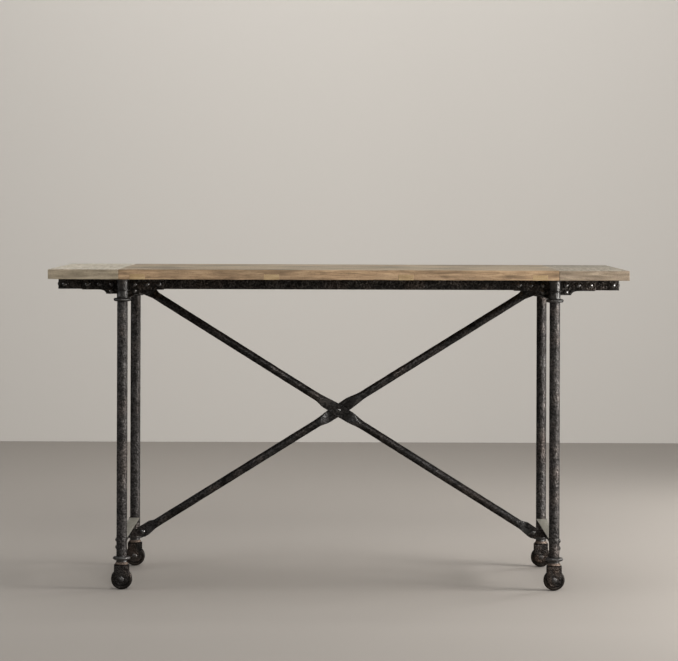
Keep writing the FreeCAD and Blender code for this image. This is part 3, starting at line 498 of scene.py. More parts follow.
# %% The breadboards and battens
BREADBOARD_EDGES = {"front": (0.8 * MM, 2.0 * MM), "back": (0.8 * MM, 2.0 * MM),
                    "under": (0.6 * MM, 1.1 * MM), "end": 0.8 * MM}
BATTEN_EDGES = {"front": (0.4 * MM, 0.8 * MM), "back": (0.4 * MM, 0.8 * MM), "under": (0.4 * MM, 0.8 * MM),
                "end": 0.5 * MM}
for side, sx in SIDES:
    low, high = box_of(f"breadboard_{side}")
    breadboard = board(low, high, 1, BREADBOARD_EDGES, 71 + sx, BOARD_RELIEF)
    wood = brown_breadboard_wood if sx > 0 else breadboard_wood
    make_piece(f"worn_breadboard_{side}", [breadboard], wood, "table",
               [f"breadboard_{side}"])
for number, (low, high) in enumerate(batten_boxes, 1):
    batten = board(low, high, 1, BATTEN_EDGES, 90 + number, SAWN_RELIEF, spacing=20 * MM, across_count=6)
    make_piece(f"let_in_batten_{number}", [batten], batten_wood, "table", [f"batten_{number}"])


# %% [markdown]
# ## Iron bars
# Rolled iron has a rounded outside corner, a soft inside one and slightly rounded tips. The section is drawn
# once as a polygon, its corners are replaced by arcs, and it is carried along the bar.

# %% Rounding a polygon and sweeping it
def rounded_polygon(corners, radii, arc_count=5):
    """The polygon with each corner replaced by an arc of its radius, tangent to both sides."""
    corners = np.array(corners, float)
    before = np.roll(corners, 1, axis=0) - corners
    after = np.roll(corners, -1, axis=0) - corners
    points = []
    for corner, back, on, radius in zip(corners, before, after, radii):
        back = back / np.linalg.norm(back)
        on = on / np.linalg.norm(on)
        half = math.acos(np.clip(np.dot(back, on), -1, 1)) / 2
        reach = radius / math.tan(half)
        middle = (back + on) / np.linalg.norm(back + on)
        centre = corner + middle * radius / math.sin(half)
        start, end = (corner + way * reach - centre for way in (back, on))
        turn = math.atan2(start[0] * end[1] - start[1] * end[0], np.dot(start, end))
        angles = np.linspace(0, turn, arc_count)[:, None]
        square = np.array([-start[1], start[0]])
        points.append(centre + start * np.cos(angles) + square * np.sin(angles))
    return np.vstack(points)


def swept(section, path, side, up):
    """A section (side, up) carried along a straight path: point + x times side + y times up."""
    section = np.asarray(section)
    path = np.asarray(path, float)[:, None, :]
    offsets = section[:, :1] * np.asarray(side, float) + section[:, 1:] * np.asarray(up, float)
    return path + offsets


def between(start, end, count):
    """Evenly spaced points from one place to another."""
    share = np.linspace(0, 1, count)[:, None]
    return np.asarray(start) * (1 - share) + np.asarray(end) * share


# %% The four rails
IRON = 3.2 * MM
RAIL_RELIEF = 0.15 * MM
RAIL_STATIONS = 90
RAILS = (("front_rail", 0, -1), ("back_rail", 0, 1), ("left_end_rail", 1, -1), ("right_end_rail", 1, 1))


def angle_section(width):
    """An L: the upright flange on x = 0, the flat one at the top, going to +x."""
    corners = [(0, 0), (0, width), (width, width), (width, width - IRON), (IRON, width - IRON), (IRON, 0)]
    return rounded_polygon(corners, [0.9 * MM, 1.2 * MM, 0.9 * MM, 0.9 * MM, 2.0 * MM, 0.9 * MM])


def rail(node, along, outward):
    """An angle bar, mitred: its ends move in by as much as the section's point is behind the outer face.

    Its outer face wanders in and out by a small relief, which goes no further out than the measured face.
    """
    low, high = box_of(node)
    across = 1 - along
    width = high[2] - low[2]
    section = angle_section(width)
    outer = high[across] if outward > 0 else low[across]
    share = np.linspace(0, 1, RAIL_STATIONS)[:, None]
    points = np.empty((RAIL_STATIONS, len(section), 3))
    points[..., along] = (low[along] + section[:, 0]) * (1 - share) + (high[along] - section[:, 0]) * share
    wander = ripple(points[..., along], 0 * share + section[:, 1], along + outward + 40, (0.05, 0.3))
    behind = section[:, 0] + RAIL_RELIEF - RAIL_RELIEF * np.clip(wander, -1, 1)
    points[..., across] = outer - outward * behind
    points[..., 2] = low[2] + section[:, 1]
    return shell(points)


for node, along, outward in RAILS:
    make_piece(f"rolled_{node}", [rail(node, along, outward)], frame_iron, "table", [node])

# %% The corner plates
plate_low, plate_high = box_of("corner_plates")
PLATE = 2.0 * MM
PLATE_WIDTH = 24.5 * MM
PLATE_TIP = 0.7 * MM
plate_corners = [(0, 0), (PLATE_WIDTH, 0), (PLATE_WIDTH, PLATE), (PLATE, PLATE), (PLATE, PLATE_WIDTH),
                 (0, PLATE_WIDTH)]
plate_radii = [2.2 * MM, PLATE_TIP, PLATE_TIP, 0.6 * MM, PLATE_TIP, PLATE_TIP]
plate_section = rounded_polygon(plate_corners, plate_radii)
plates = []
for _, sx, sy in CORNERS:
    corner = (plate_high if sx > 0 else plate_low)[0], (plate_high if sy > 0 else plate_low)[1]
    heights = stations_along(plate_high[2] - plate_low[2], 3 * MM, PLATE_TIP)
    path = [(corner[0], corner[1], plate_low[2] + height) for height in heights]
    plates.append(shell(swept(plate_section, path, (-sx, 0, 0), (0, -sy, 0))))
make_piece("wrapped_corner_plates", plates, frame_iron, "table", ["corner_plates"])


# %% [markdown]
# ## Turned and domed pieces
# Rings, sleeves, tubes, wheels and rivet heads are all turned: a profile of radius and height, spun round an
# axis. A rivet's dome was closed by hammer blows, so its roundness is a little uneven.

# %% Spinning a profile
def spun(profile, centre, axis=(0, 0, 1), steps=48, uneven=0.0, seed=0, **marks):
    """A profile of (radius, height) spun round an axis: centre + height x axis + radius x (cos, sin)."""
    profile = np.asarray(profile, float)
    axis = np.asarray(axis, float)
    helper = np.array((1.0, 0, 0)) if abs(axis[0]) < 0.9 else np.array((0, 1.0, 0))
    first = np.cross(axis, helper)
    first /= np.linalg.norm(first)
    second = np.cross(axis, first)
    angle = np.linspace(0, TAU, steps, endpoint=False)
    around = np.cos(angle)[:, None] * first + np.sin(angle)[:, None] * second
    radius = profile[:, :1] + 0 * angle
    if uneven:
        relief = ripple(np.cos(angle), np.sin(angle) + profile[:, 1:] * 80, seed, (0.8, 2.5))
        radius = radius * (1 + uneven * relief)
    points = np.asarray(centre) + profile[:, 1][:, None, None] * axis + radius[..., None] * around
    return shell(points, caps=False, **marks)


def arc_profile(radius, height, start, end, size, count=7):
    """Part of a circle in the profile: centre (radius, height), from one angle to another."""
    angles = np.radians(np.linspace(start, end, count))
    return [(radius + size * math.cos(angle), height + size * math.sin(angle)) for angle in angles]


def dome_profile(radius, height, flat_edge=0.4 * MM, count=7):
    """The upper half of a domed head, from its foot to its crown: a cap of a sphere over a short edge."""
    rise = height - flat_edge
    ball = (radius**2 + rise**2) / (2 * rise)
    reach = math.asin(min(1.0, radius / ball))
    angles = np.linspace(reach, 0, count)
    cap = [(ball * math.sin(angle), height - ball + ball * math.cos(angle)) for angle in angles]
    return [(radius, 0)] + cap


TAIL_HEIGHT = 1.6 * MM
HEAD_STEPS = 20
HEAD_UNEVEN = 0.03


def rivet_shell(point, outward, radius, height, grip, tail, seed):
    """A head on a shank with a lower, flatter head at the far end, all in one profile."""
    shank = radius / 2
    end = -grip - TAIL_HEIGHT
    profile = [(0, end), (tail * 0.7, end), (tail, end + 0.6 * MM), (tail, -grip), (shank, -grip), (shank, 0)]
    return spun(profile + dome_profile(radius, height), point, outward, HEAD_STEPS, HEAD_UNEVEN, seed)


# %% Bolts and rivets of the frame
bracket_low, bracket_high = box_of("leg_bracket_front_right")
leg_low, leg_high = box_of("leg_front_right")
LEG_X = (leg_low[0] + leg_high[0]) / 2
LEG_Y = -(leg_low[1] + leg_high[1]) / 2
LEG_RADIUS = (leg_high[0] - leg_low[0]) / 2
WOOD_UNDER = bracket_high[2]
RAIL_Y = box_of("back_rail")[1][1]
WING = 2.9 * MM
WING_FACE_Y = RAIL_Y + WING
RIVET_PLACES = [(side * x * MM, depth * MM) for side in (-1, 1)
                for x, depth in ((26.5, 13.5), (56, 13.5), (85, 13.5), (26.5, 30))]
CROSSBAR_HALF_WIDTH = 34 * MM
rivets = []
for _, sx, sy in CORNERS:
    for dx, depth in RIVET_PLACES:
        grip = WING + IRON + (IRON if abs(dx) < CROSSBAR_HALF_WIDTH else 0)
        point = (sx * LEG_X + dx, sy * WING_FACE_Y, WOOD_UNDER - depth)
        rivets.append(rivet_shell(point, (0, sy, 0), 6.0 * MM, 3.0 * MM, grip, 4.5 * MM, len(rivets)))
make_piece("hammered_bracket_rivets", rivets, fastener_iron, "table", ["bracket_rivets"])

corner_bolts = []
bolt_z = WOOD_UNDER - 13.5 * MM
FROM_CORNER = 15 * MM
for _, sx, sy in CORNERS:
    face_x, face_y = plate_high[0] * sx, plate_high[1] * sy
    for point, outward in (((face_x - sx * FROM_CORNER, face_y, bolt_z), (0, sy, 0)),
                           ((face_x, face_y - sy * FROM_CORNER, bolt_z), (sx, 0, 0))):
        corner_bolts.append(rivet_shell(point, outward, 5.5 * MM, 2.8 * MM, PLATE + IRON, 4.5 * MM,
                                        len(corner_bolts) + 50))
make_piece("hammered_corner_bolts", corner_bolts, fastener_iron, "table", ["corner_bolts"])

stretcher_rivets = []
rivet_low, rivet_high = box_of("stretcher_rivets")
HEAD = 5.2 * MM
for _, sx, sy in CORNERS:
    for height in (rivet_low[2] + HEAD, rivet_high[2] - HEAD):
        point = (sx * (LEG_X + LEG_RADIUS - 0.3 * MM), sy * LEG_Y, height)
        profile = [(0, -8 * MM), (2.5 * MM, -8 * MM), (2.5 * MM, 0)] + dome_profile(HEAD, 3.1 * MM)
        stretcher_rivets.append(spun(profile, point, (sx, 0, 0), HEAD_STEPS, HEAD_UNEVEN,
                                     len(stretcher_rivets) + 80))
make_piece("hammered_stretcher_rivets", stretcher_rivets, fastener_iron, "table",
           ["stretcher_rivets"])

# %% [markdown]
# ## Leg brackets, legs and feet
# The bracket is a casting: a flat plate with a lobe behind the leg, and a turned sleeve, bead and ring in
# front. The plate's outline is offset inwards along its own normals, for the soft edge that a casting has.

# %% A plate with soft edges
def soft_plate(outline, thickness, edge, place, **marks):
    """A plate from its outline: rings along its thickness, each drawn in by the edge's arc.

    place maps (x, depth, z) to the row frame, where depth goes from the front face to the back.
    """
    outline = np.asarray(outline, float)
    ahead = np.roll(outline, -1, axis=0) - outline
    ahead /= np.linalg.norm(ahead, axis=1, keepdims=True)
    behind = np.roll(ahead, 1, axis=0)
    direction = ahead + behind
    direction /= np.linalg.norm(direction, axis=1, keepdims=True)
    inwards = np.column_stack((-direction[:, 1], direction[:, 0]))
    widen = 1 / np.maximum(0.5, np.einsum("ij,ij->i", direction, ahead))
    angles = np.linspace(0, TAU / 4, 5)
    insets = np.concatenate([edge * (1 - np.sin(angles)), edge * (1 - np.sin(angles[::-1]))])
    depths = np.concatenate([edge * (1 - np.cos(angles)), thickness - edge * (1 - np.cos(angles[::-1]))])
    flat = outline + insets[:, None, None] * inwards * widen[:, None]
    points = place(flat[..., 0], depths[:, None] + 0 * flat[..., 0], flat[..., 1])
    return shell(np.stack(points, axis=-1), **marks)


# %% The bracket castings
WING_REACH = 98 * MM
WING_HEIGHT = 27 * MM
LOBE_HEIGHT = 37 * MM
LOBE_HALF_WIDTH = 40 * MM
SHOULDER = 57 * MM


def wing_outline():
    """The wings and the lobe, counter-clockwise, with x from the leg's axis and z from under the wood."""
    low = -WING_HEIGHT
    angles = np.linspace(0, TAU / 4, 9)[1:-1]
    rise = LOBE_HEIGHT - WING_HEIGHT
    run = SHOULDER - LOBE_HALF_WIDTH
    hollow = [(SHOULDER - run * math.sin(angle), low - rise * (1 - math.cos(angle))) for angle in angles]
    right = [(LOBE_HALF_WIDTH - 1.2 * MM, -LOBE_HEIGHT), (LOBE_HALF_WIDTH, -LOBE_HEIGHT + 0.4 * MM)]
    right += hollow[::-1]
    cut = 1 * MM
    right += [(SHOULDER, low), (WING_REACH - cut, low), (WING_REACH, low + cut), (WING_REACH, -cut),
              (WING_REACH - cut, 0)]
    left = [(-x, z) for x, z in reversed(right)]
    return np.array(right + left)


RING_RADIUS = 21 * MM
RING_ROUND = 4 * MM
LEG_WALL = 2 * MM
leg_top = leg_high[2]
sleeve = 13.3 * MM
under = WOOD_UNDER
# From the spigot in the leg upwards: the ring, the sleeve, its bead, the sleeve again and the flange.
spigot = LEG_RADIUS - LEG_WALL - 0.05 * MM
BRACKET_PROFILE = ([(0, leg_top - 20 * MM), (spigot, leg_top - 20 * MM), (spigot, leg_top)]
                   + arc_profile(RING_RADIUS - RING_ROUND, leg_top + RING_ROUND, -90, 90, RING_ROUND, 13)
                   + [(sleeve + 0.8 * MM, leg_top + 8 * MM), (sleeve, leg_top + 9 * MM)]
                   + [(sleeve, under - 30 * MM)]
                   + arc_profile(15.4 * MM, under - 28 * MM, -90, 90, 1.6 * MM, 7)
                   + [(sleeve, under - 26.2 * MM), (sleeve - 0.2 * MM, under - 6 * MM)]
                   + [(sleeve + 0.3 * MM, under - 3.6 * MM)]
                   + arc_profile(16.0 * MM, under - 2.0 * MM, -90, 0, 1.0 * MM, 4)
                   + [(17.0 * MM, under - 0.1 * MM), (0, under - 0.1 * MM)])


def flattened_behind(part, sy):
    """Presses what is behind the plate's face flat against it, as the ring's casting is there."""
    vertices = part["vertices"]
    depth = vertices[:, 1] * sy
    above = vertices[:, 2] > under - LOBE_HEIGHT
    vertices[:, 1] = sy * np.where(above, np.maximum(depth, WING_FACE_Y - 0.5 * MM), depth)
    return part


def bracket(sx, sy):
    """The plate, the pad behind its lobe and the turned sleeve."""
    def on_rail(x, depth, z):
        return sx * LEG_X + x, sy * (WING_FACE_Y - depth), under + z

    def behind_plate(x, depth, z):
        return on_rail(x, depth + 1.5 * MM, z)

    plate = soft_plate(wing_outline(), WING, 0.8 * MM, on_rail, polish=0)
    side, low, high = 39 * MM, -36.8 * MM, -25.6 * MM
    pad_outline = [(-side, low), (side, low), (side, high), (-side, high)]
    pad = soft_plate(pad_outline, 4.6 * MM, 0.5 * MM, behind_plate, polish=0)
    turned = spun(BRACKET_PROFILE, (sx * LEG_X, sy * LEG_Y, 0), steps=56, uneven=0.006,
                  seed=7 + sx + 2 * sy, polish=0.8)
    return [plate, pad, flattened_behind(turned, sy)]


for name, sx, sy in CORNERS:
    make_piece(f"cast_bracket_{name}", bracket(sx, sy), frame_iron, "table",
               [f"leg_bracket_{name}"])

# %% The legs and their feet
foot_low, foot_high = box_of("leg_foot_front_right")
leg_bottom = leg_low[2]
neck = 13 * MM
bore = LEG_RADIUS - LEG_WALL
stem_bore = 4.8 * MM
FOOT_PROFILE = ([(stem_bore, foot_low[2]), (neck, foot_low[2]), (neck, leg_bottom - 8.6 * MM)]
                + arc_profile(RING_RADIUS - RING_ROUND, leg_bottom - RING_ROUND, -90, 90, RING_ROUND, 13)
                + [(spigot, leg_bottom), (spigot, foot_high[2])]
                + [(stem_bore, foot_high[2]), (stem_bore, foot_low[2])])
LEG_HEIGHTS = np.linspace(leg_bottom, leg_top, 150)


def hammered_tube(sx, sy, seed):
    """A leg: a tube whose outer radius is multiplied by one less a small ripple, as uneven old tube has."""
    outside = [(LEG_RADIUS, height) for height in LEG_HEIGHTS]
    inside = [(bore, leg_top), (bore, leg_bottom), (LEG_RADIUS, leg_bottom)]
    tube = spun(outside + inside, (sx * LEG_X, sy * LEG_Y, 0), steps=40)
    axis_point = np.array((sx * LEG_X, sy * LEG_Y))
    from_axis = tube["vertices"][:, :2] - axis_point
    around = np.arctan2(from_axis[:, 1], from_axis[:, 0])
    blows = ripple(around * LEG_RADIUS, tube["vertices"][:, 2], seed, (0.012, 0.05), 9)
    outer = np.hypot(from_axis[:, 0], from_axis[:, 1]) > bore + LEG_WALL / 2
    pull = 1 - np.where(outer, 0.012 * np.clip(0.5 + 0.5 * blows, 0, 1), 0)[:, None]
    tube["vertices"][:, :2] = axis_point + from_axis * pull
    return tube


for number, (name, sx, sy) in enumerate(CORNERS):
    tube = hammered_tube(sx, sy, 200 + number)
    make_piece(f"tube_leg_{name}", [tube], leg_iron, "table", [f"leg_{name}"])
    foot = spun(FOOT_PROFILE, (sx * LEG_X, sy * LEG_Y, 0), steps=56, uneven=0.006, seed=300 + number,
                polish=0.9)
    make_piece(f"ringed_foot_{name}", [foot], leg_iron, "table", [f"leg_foot_{name}"])

# %% The side stretchers
def tee_section(width):
    """A T: the flat flange on top, the web under its middle."""
    half = width / 2
    web = IRON / 2
    right = [(half, 0), (half, -IRON), (web, -IRON), (web, -width)]
    left = [(-x, z) for x, z in reversed(right)]
    tip, root = 0.9 * MM, 1.4 * MM
    return rounded_polygon(left[-1:] + right + left[:-1], [tip, tip, tip, root, tip, tip, root, tip])


for side, sx in SIDES:
    low, high = box_of(f"side_stretcher_{side}")
    reach = LEG_Y - LEG_RADIUS - 0.3 * MM
    path = between((sx * LEG_X, -reach, high[2]), (sx * LEG_X, reach, high[2]), 60)
    section = tee_section(high[2] - low[2])
    # The flange's top is marked "up", and the iron paints it pale: a painted reflection of the bright wall.
    bar = shell(swept(section, path, (1, 0, 0), (0, 0, 1)), up=section[:, 1] > -0.5 * MM)
    tongues = []
    for sy in (-1, 1):
        ends = between((sx * LEG_X, sy * (reach - 2 * MM), 0), (sx * LEG_X, sy * high[1], 0), 4)
        half, top = IRON / 2, high[2] - 0.2 * MM
        web = [(-half, low[2]), (half, low[2]), (half, top), (-half, top)]
        tongues.append(shell(swept(web, ends, (1, 0, 0), (0, 0, 1)), up=0))
    make_piece(f"rolled_stretcher_{side}", [bar] + tongues, leg_iron, "table",
               [f"side_stretcher_{side}"])

# %% [markdown]
# ## The crossed brace
# Each brace is a round tube that was pressed flat, cold, at its two ends and where it crosses the other. The
# section goes from a circle to a flat oval: its width grows as its thickness shrinks. The press leaves a
# hard-edged dimple where the flat begins, which a plain blend between two shapes would not show.

# %% A pressed tube
TUBE_RADIUS = 10.2 * MM
FLAT_THICKNESS = 5.2 * MM
FLAT_WIDTH = 29.5 * MM
PAST_BOLT = 13 * MM
RAMP = 0.33  # how much half of the thickness grows with the distance from the flat
bolts_low, bolts_high = box_of("brace_bolts")
BOLT_HEAD = 5.5 * MM
END_X = bolts_high[0] - BOLT_HEAD
LOW_Z, HIGH_Z = bolts_low[2] + BOLT_HEAD, bolts_high[2] - BOLT_HEAD
MIDDLE_Z = (LOW_Z + HIGH_Z) / 2
HALF_LENGTH = math.hypot(END_X, (HIGH_Z - LOW_Z) / 2)
# Where each edge of a flat starts to narrow and where it has become round, in millimetres from the crossing
# or from the bolt: the upper and the lower edge of the left half, then those of the right half.
MIDDLE_EDGES = (((4, 66), (34, 62)), ((30, 70), (22, 74)))
END_EDGES = (((24, 42), (4, 38)), ((24, 42), (4, 38)))


def smooth_step(value, start, end):
    """0 before the start, 1 after the end, and an S between them."""
    share = np.clip((value - start) / (end - start), 0, 1)
    return share * share * (3 - 2 * share)


def widening(along, upper):
    """How wide the flat is at a station, from 0 to 1, at its upper or its lower edge."""
    distance = np.abs(along)
    width = 0.0
    for half, here in enumerate((along < 0, along >= 0)):
        start, end = (value * MM for value in MIDDLE_EDGES[half][upper])
        middle = 1 - smooth_step(distance, start, end)
        start, end = (value * MM for value in END_EDGES[half][upper])
        tip = 1 - smooth_step(HALF_LENGTH - distance, start, end)
        width = width + here * np.maximum(middle, tip)
    return width


def pressed_tube(direction, side, seed):
    """A tube along a sloping line in the XZ plane, flat at the middle and the ends.

    Each point is (half width x cos, radius x sin), and sin's part is cut off by the press: it can be no
    thicker than the flat, plus a ramp that rises with the distance from where the press stopped.
    """
    tip = np.sin(np.linspace(0, TAU / 4, 12))
    tip_start = HALF_LENGTH - 2 * MM
    outer = np.concatenate([np.linspace(0, tip_start, 330)[1:-1], tip_start + (PAST_BOLT + 1.98 * MM) * tip])
    along = np.concatenate([-outer[::-1], [0], outer])[:, None]
    angle = np.linspace(0, TAU, 56, endpoint=False)[None, :]
    cos, sin = np.cos(angle), np.sin(angle)
    distance = np.abs(along)
    wide = np.where(cos > 0, widening(along, 0), widening(along, 1))
    half_width = TUBE_RADIUS + (FLAT_WIDTH / 2 - TUBE_RADIUS) * wide
    past_middle = np.maximum(0, distance - (29 + 5 * np.sign(along) * cos) * MM)
    past_end = np.maximum(0, HALF_LENGTH - distance - (26 + 4 * cos) * MM)
    pressed = FLAT_THICKNESS / 2 + RAMP * np.minimum(past_middle, past_end)
    blows = ripple(along + 0 * angle, 12 * MM * angle + 0 * along, seed, (0.02, 0.08), 9)
    radius = TUBE_RADIUS * (1 - 0.035 * np.clip(0.5 + 0.5 * blows, 0, 1))
    thick = np.sign(sin) * np.minimum(radius * np.abs(sin), pressed)
    past = np.clip((distance - HALF_LENGTH + 2 * MM) / (PAST_BOLT + 2 * MM), 0, 1)
    across = half_width * cos * np.sqrt(np.maximum(0.0004, 1 - past**2)) * (radius / TUBE_RADIUS)
    slope = math.atan2((HIGH_Z - LOW_Z) / 2, END_X)
    way = np.array((math.cos(slope), 0, direction * math.sin(slope)))
    square = np.array((-direction * math.sin(slope), 0, math.cos(slope)))
    centre = np.array((0, side * FLAT_THICKNESS / 2, MIDDLE_Z))
    points = centre + (along + 0 * angle)[..., None] * way + across[..., None] * square
    points = points + thick[..., None] * np.array((0, 1.0, 0))
    return shell(points, polish=0.7 * np.clip(4 * wide * (1 - wide), 0, 1))


for name, direction, side in (("front", -1, -1), ("rear", 1, 1)):
    make_piece(f"pressed_brace_{name}", [pressed_tube(direction, side, 400 + side)], brace_iron,
               "table", [f"brace_{name}"], 30)

# %% [markdown]
# ## Casters
# Each caster turns in the leg's foot. Its fork is one strip of iron bent over the wheel, so it is a strip
# carried along an upside-down U, as wide as the fork, and narrowing to a half circle at both ends.

# %% Casters
race_low, race_high = box_of("swivel_races")
race_bore = 5.1 * MM
height = race_high[2] - race_low[2]
RACE_PROFILE = [(race_bore, 0), (15.2 * MM, 0), (16 * MM, 0.8 * MM), (15.6 * MM, 1.8 * MM),
                (13.4 * MM, height - 0.6 * MM), (12.6 * MM, height), (race_bore, height), (race_bore, 0)]
races = []
for _, sx, sy in CORNERS:
    races.append(spun(RACE_PROFILE, (sx * LEG_X, sy * LEG_Y, race_low[2]), steps=48, uneven=0.01,
                      seed=500 + len(races)))
make_piece("rusty_swivel_races", races, rusted_iron, "table", ["swivel_races"])

FORK_SHEET = 2.6 * MM
FORK_BEND = 5 * MM
FORK_HEIGHT = 49.6 * MM
ROUNDING_HEIGHT = 15 * MM  # of the half circle at the strip's ends
STEM_RADIUS = 4.75 * MM


def bent_fork(x, y, low, high):
    """A strip along an upside-down U in the YZ plane; its half width is a half circle near both ends."""
    half_gap = (high[1] - low[1]) / 2 - FORK_SHEET / 2
    half_width = (high[0] - low[0]) / 2
    bottom = low[2]
    top = bottom + FORK_HEIGHT - FORK_SHEET / 2
    straight = np.concatenate([np.linspace(0, ROUNDING_HEIGHT, 16),
                               np.linspace(ROUNDING_HEIGHT, top - bottom - FORK_BEND, 8)[1:]])
    bend = np.linspace(0, TAU / 4, 7)[1:]
    up = np.column_stack((np.full(len(straight), -half_gap), bottom + straight))
    over = np.column_stack((-half_gap + FORK_BEND * (1 - np.cos(bend)),
                            top - FORK_BEND + FORK_BEND * np.sin(bend)))
    half_path = np.vstack((up, over))
    path = np.vstack((half_path, half_path[::-1] * (-1, 1)))
    ahead = np.gradient(path, axis=0)
    ahead /= np.linalg.norm(ahead, axis=1, keepdims=True)
    outwards = np.column_stack((-ahead[:, 1], ahead[:, 0]))
    from_bottom = np.clip((path[:, 1] - bottom) / ROUNDING_HEIGHT, 0, 1)
    width = half_width * np.sqrt(np.maximum(0.002, 1 - (1 - from_bottom) ** 2))
    corner, normal = section_columns(5, 1, 3)
    edge = 0.6 * MM
    sheet_x = corner[:, 0] * np.maximum(width[:, None] - edge, 0.1 * MM) + edge * normal[:, 0]
    sheet_out = corner[:, 1] * (FORK_SHEET / 2 - edge) + edge * normal[:, 1]
    points = np.empty((*sheet_x.shape, 3))
    points[..., 0] = x + sheet_x
    points[..., 1] = y + path[:, :1] + sheet_out * outwards[:, :1]
    points[..., 2] = path[:, 1:] + sheet_out * outwards[:, 1:]
    foot = top - 0.5 * MM
    end = high[2]
    stem = [(0, foot), (STEM_RADIUS, foot), (STEM_RADIUS, end - 1 * MM), (4 * MM, end), (0, end)]
    return [shell(points), spun(stem, (x, y, 0), steps=24)]


def wheel_profile(radius, half):
    """Half of a wheel's section turned about its axle: hub, dished side, rim and crowned tread, then back."""
    hub = [(4.05 * MM, half), (8.4 * MM, half), (9.0 * MM, half - 0.6 * MM), (9.8 * MM, half - 3 * MM)]
    dish = [(radius - 9.4 * MM, half - 3 * MM), (radius - 7 * MM, half - 1.2 * MM)]
    rim = [(radius - 4 * MM, half - 0.8 * MM), (radius - 2.2 * MM, half - 1.4 * MM)]
    tread = [(radius - 1.0 * MM, half - 3 * MM), (radius - 0.3 * MM, half - 6 * MM), (radius, 0)]
    side = hub + dish + rim + tread
    return side + [(x, -z) for x, z in reversed(side[:-1])] + side[:1]


def axle_profile(half):
    """A pin with a domed head at each end, from one crown to the other."""
    under_head = half - AXLE_HEAD_HEIGHT
    head = [(radius, under_head + height) for radius, height in dome_profile(6.5 * MM, AXLE_HEAD_HEIGHT)]
    pin = head[::-1] + [(4 * MM, under_head)]
    return pin + [(radius, -height) for radius, height in reversed(pin)]


AXLE_HEAD_HEIGHT = 2.4 * MM
for number, (name, sx, sy) in enumerate(CORNERS):
    swivel = f"swivel_{name}"
    fork = bent_fork(sx * LEG_X, sy * LEG_Y, *box_of(f"caster_fork_{name}"))
    make_piece(f"bent_fork_{name}", fork, fork_iron, swivel, [f"caster_fork_{name}"])
    wheel_low, wheel_high = box_of(f"caster_wheel_{name}")
    centre = (wheel_low + wheel_high) / 2
    _, half, radius = (wheel_high - wheel_low) / 2
    wheel = spun(wheel_profile(radius, half), centre, (0, 1, 0), 64)
    make_piece(f"turned_wheel_{name}", [wheel], wheel_iron, f"wheel_{name}",
               [f"caster_wheel_{name}"])
    axle_low, axle_high = box_of(f"caster_axle_{name}")
    half = (axle_high - axle_low)[1] / 2
    axle = spun(axle_profile(half), centre, (0, 1, 0), 24, 0.02, 700 + number, polish=0.8)
    make_piece(f"domed_axle_{name}", [axle], fork_iron, swivel, [f"caster_axle_{name}"])

# %% [markdown]
# Some measured pieces are right as they are: crossbars, lugs, screws, nuts and bolts. They keep their meshes
# and only get the finish of their slot.

# %% Finish of the measured pieces that are shown
slot_of = {entry["node"]: entry["material_slot"] for entry in frame["record"]["subparts"]}
for name, node in nodes.items():
    for place in node.material_slots:
        place.material = SLOT_MATERIALS[slot_of[name]]

# %% [markdown]
# ## Floor, light and camera
# A plain pale floor and wall. Soft square lamps stand in for windows at the right, where the strongest one
# gives the round legs one long highlight, and a weak one at the left. One more fills from the front and two
# hang overhead, one of them for the wall. The camera is level, at about the height of a person's chest and
# far away, with its view shifted down.

# %% The floor and the wall
def plain_material(name, colour):
    """A dull material of one colour, for the stage."""
    material = bpy.data.materials.new(name)
    material.use_nodes = True
    shader = material.node_tree.nodes["Principled BSDF"]
    shader.inputs["Base Color"].default_value = (*colour, 1)
    shader.inputs["Roughness"].default_value = 0.85
    shader.inputs["Specular IOR Level"].default_value = 0.15
    return material


def flat_sheet(name, corners, material):
    """One four-sided face of the stage."""
    mesh = bpy.data.meshes.new(name)
    mesh.from_pydata(corners, [], [(0, 1, 2, 3)])
    mesh.materials.append(material)
    sheet = bpy.data.objects.new(name, mesh)
    bpy.context.scene.collection.objects.link(sheet)


WALL_Y = 4.0
FRONT_Y = -9.0
ROOM = 7.0
WALL_HEIGHT = 5.0
flat_sheet("floor", [(-ROOM, FRONT_Y, 0), (ROOM, FRONT_Y, 0), (ROOM, WALL_Y, 0), (-ROOM, WALL_Y, 0)],
           plain_material("pale floor", (0.28, 0.256, 0.23)))
flat_sheet("wall", [(-ROOM, WALL_Y, 0), (ROOM, WALL_Y, 0), (ROOM, WALL_Y, WALL_HEIGHT),
                    (-ROOM, WALL_Y, WALL_HEIGHT)],
           plain_material("pale wall", (0.50, 0.475, 0.44)))


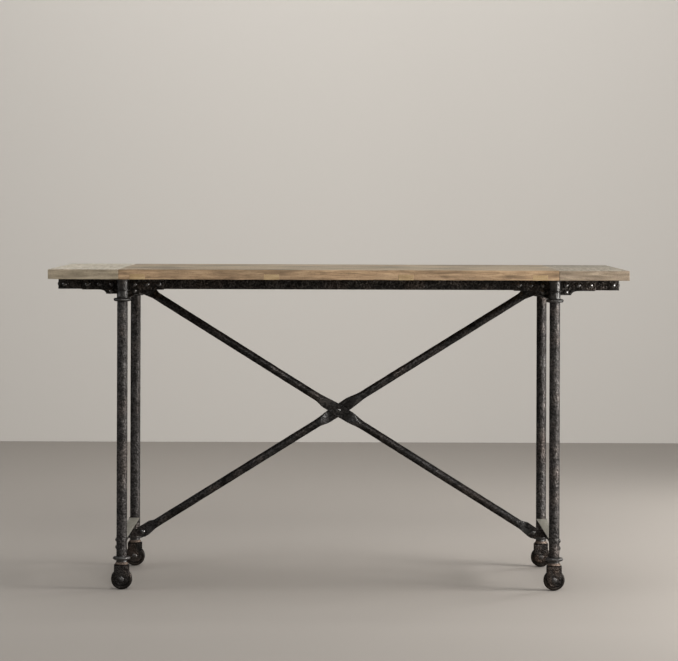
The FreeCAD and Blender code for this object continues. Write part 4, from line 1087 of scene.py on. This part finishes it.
# %% The lights
def soft_light(name, place, target, size, power, colour=(1, 1, 1)):
    """A square area light at a place, facing a target."""
    light = bpy.data.lights.new(name, "AREA")
    light.size = size
    light.energy = power
    light.color = colour
    lamp = bpy.data.objects.new(name, light)
    lamp.location = place
    lamp.visible_camera = False
    way = Vector(target) - Vector(place)
    lamp.rotation_euler = way.to_track_quat("-Z", "Y").to_euler()
    bpy.context.scene.collection.objects.link(lamp)


soft_light("key window", (2.7, -0.75, 0.88), (0, -0.05, 0.6), 1.2, 122, (1.0, 0.985, 0.97))
soft_light("rim window", (2.3, 1.7, 0.95), (0.2, 0, 0.6), 0.9, 35, (1.0, 0.99, 0.98))
soft_light("right front window", (4.4, -4.0, 1.4), (0.2, 0, 0.6), 0.95, 60, (1.0, 0.99, 0.98))
soft_light("left window", (-1.9, -0.6, 1.0), (0, 0, 0.6), 0.8, 6, (0.93, 0.96, 1.0))
soft_light("front fill", (0.4, -5.5, 3.9), (0, 0, 0.6), 1.8, 170, (1.0, 0.99, 0.97))
soft_light("overhead", (0, -0.6, 4.4), (0, -0.3, 0), 3.4, 78)
soft_light("wall wash", (0, 2.0, 4.4), (0, 4.0, 2.5), 2.6, 110)
world = bpy.data.worlds.new("soft room")
world.use_nodes = True
world.node_tree.nodes["Background"].inputs["Color"].default_value = (0.92, 0.92, 0.93, 1)
world.node_tree.nodes["Background"].inputs["Strength"].default_value = 0.08
bpy.context.scene.world = world
bpy.context.scene.view_settings.view_transform = "Standard"

# %% The camera
LENS = 152.708  # millimetres, with a sensor 36 mm wide
DOWNWARD_SHIFT = 0.188938  # as a share of the picture's width
ROLL = math.radians(-0.18)
camera_data = bpy.data.cameras.new("camera")
camera_data.sensor_width = 36
camera_data.lens = LENS
camera_data.shift_y = -DOWNWARD_SHIFT
camera_data.clip_end = 60
camera = bpy.data.objects.new("camera", camera_data)
camera.location = (0, -7.082, 0.924)
camera.rotation_euler = (TAU / 4, ROLL, 0)
bpy.context.scene.collection.objects.link(camera)
bpy.context.scene.camera = camera
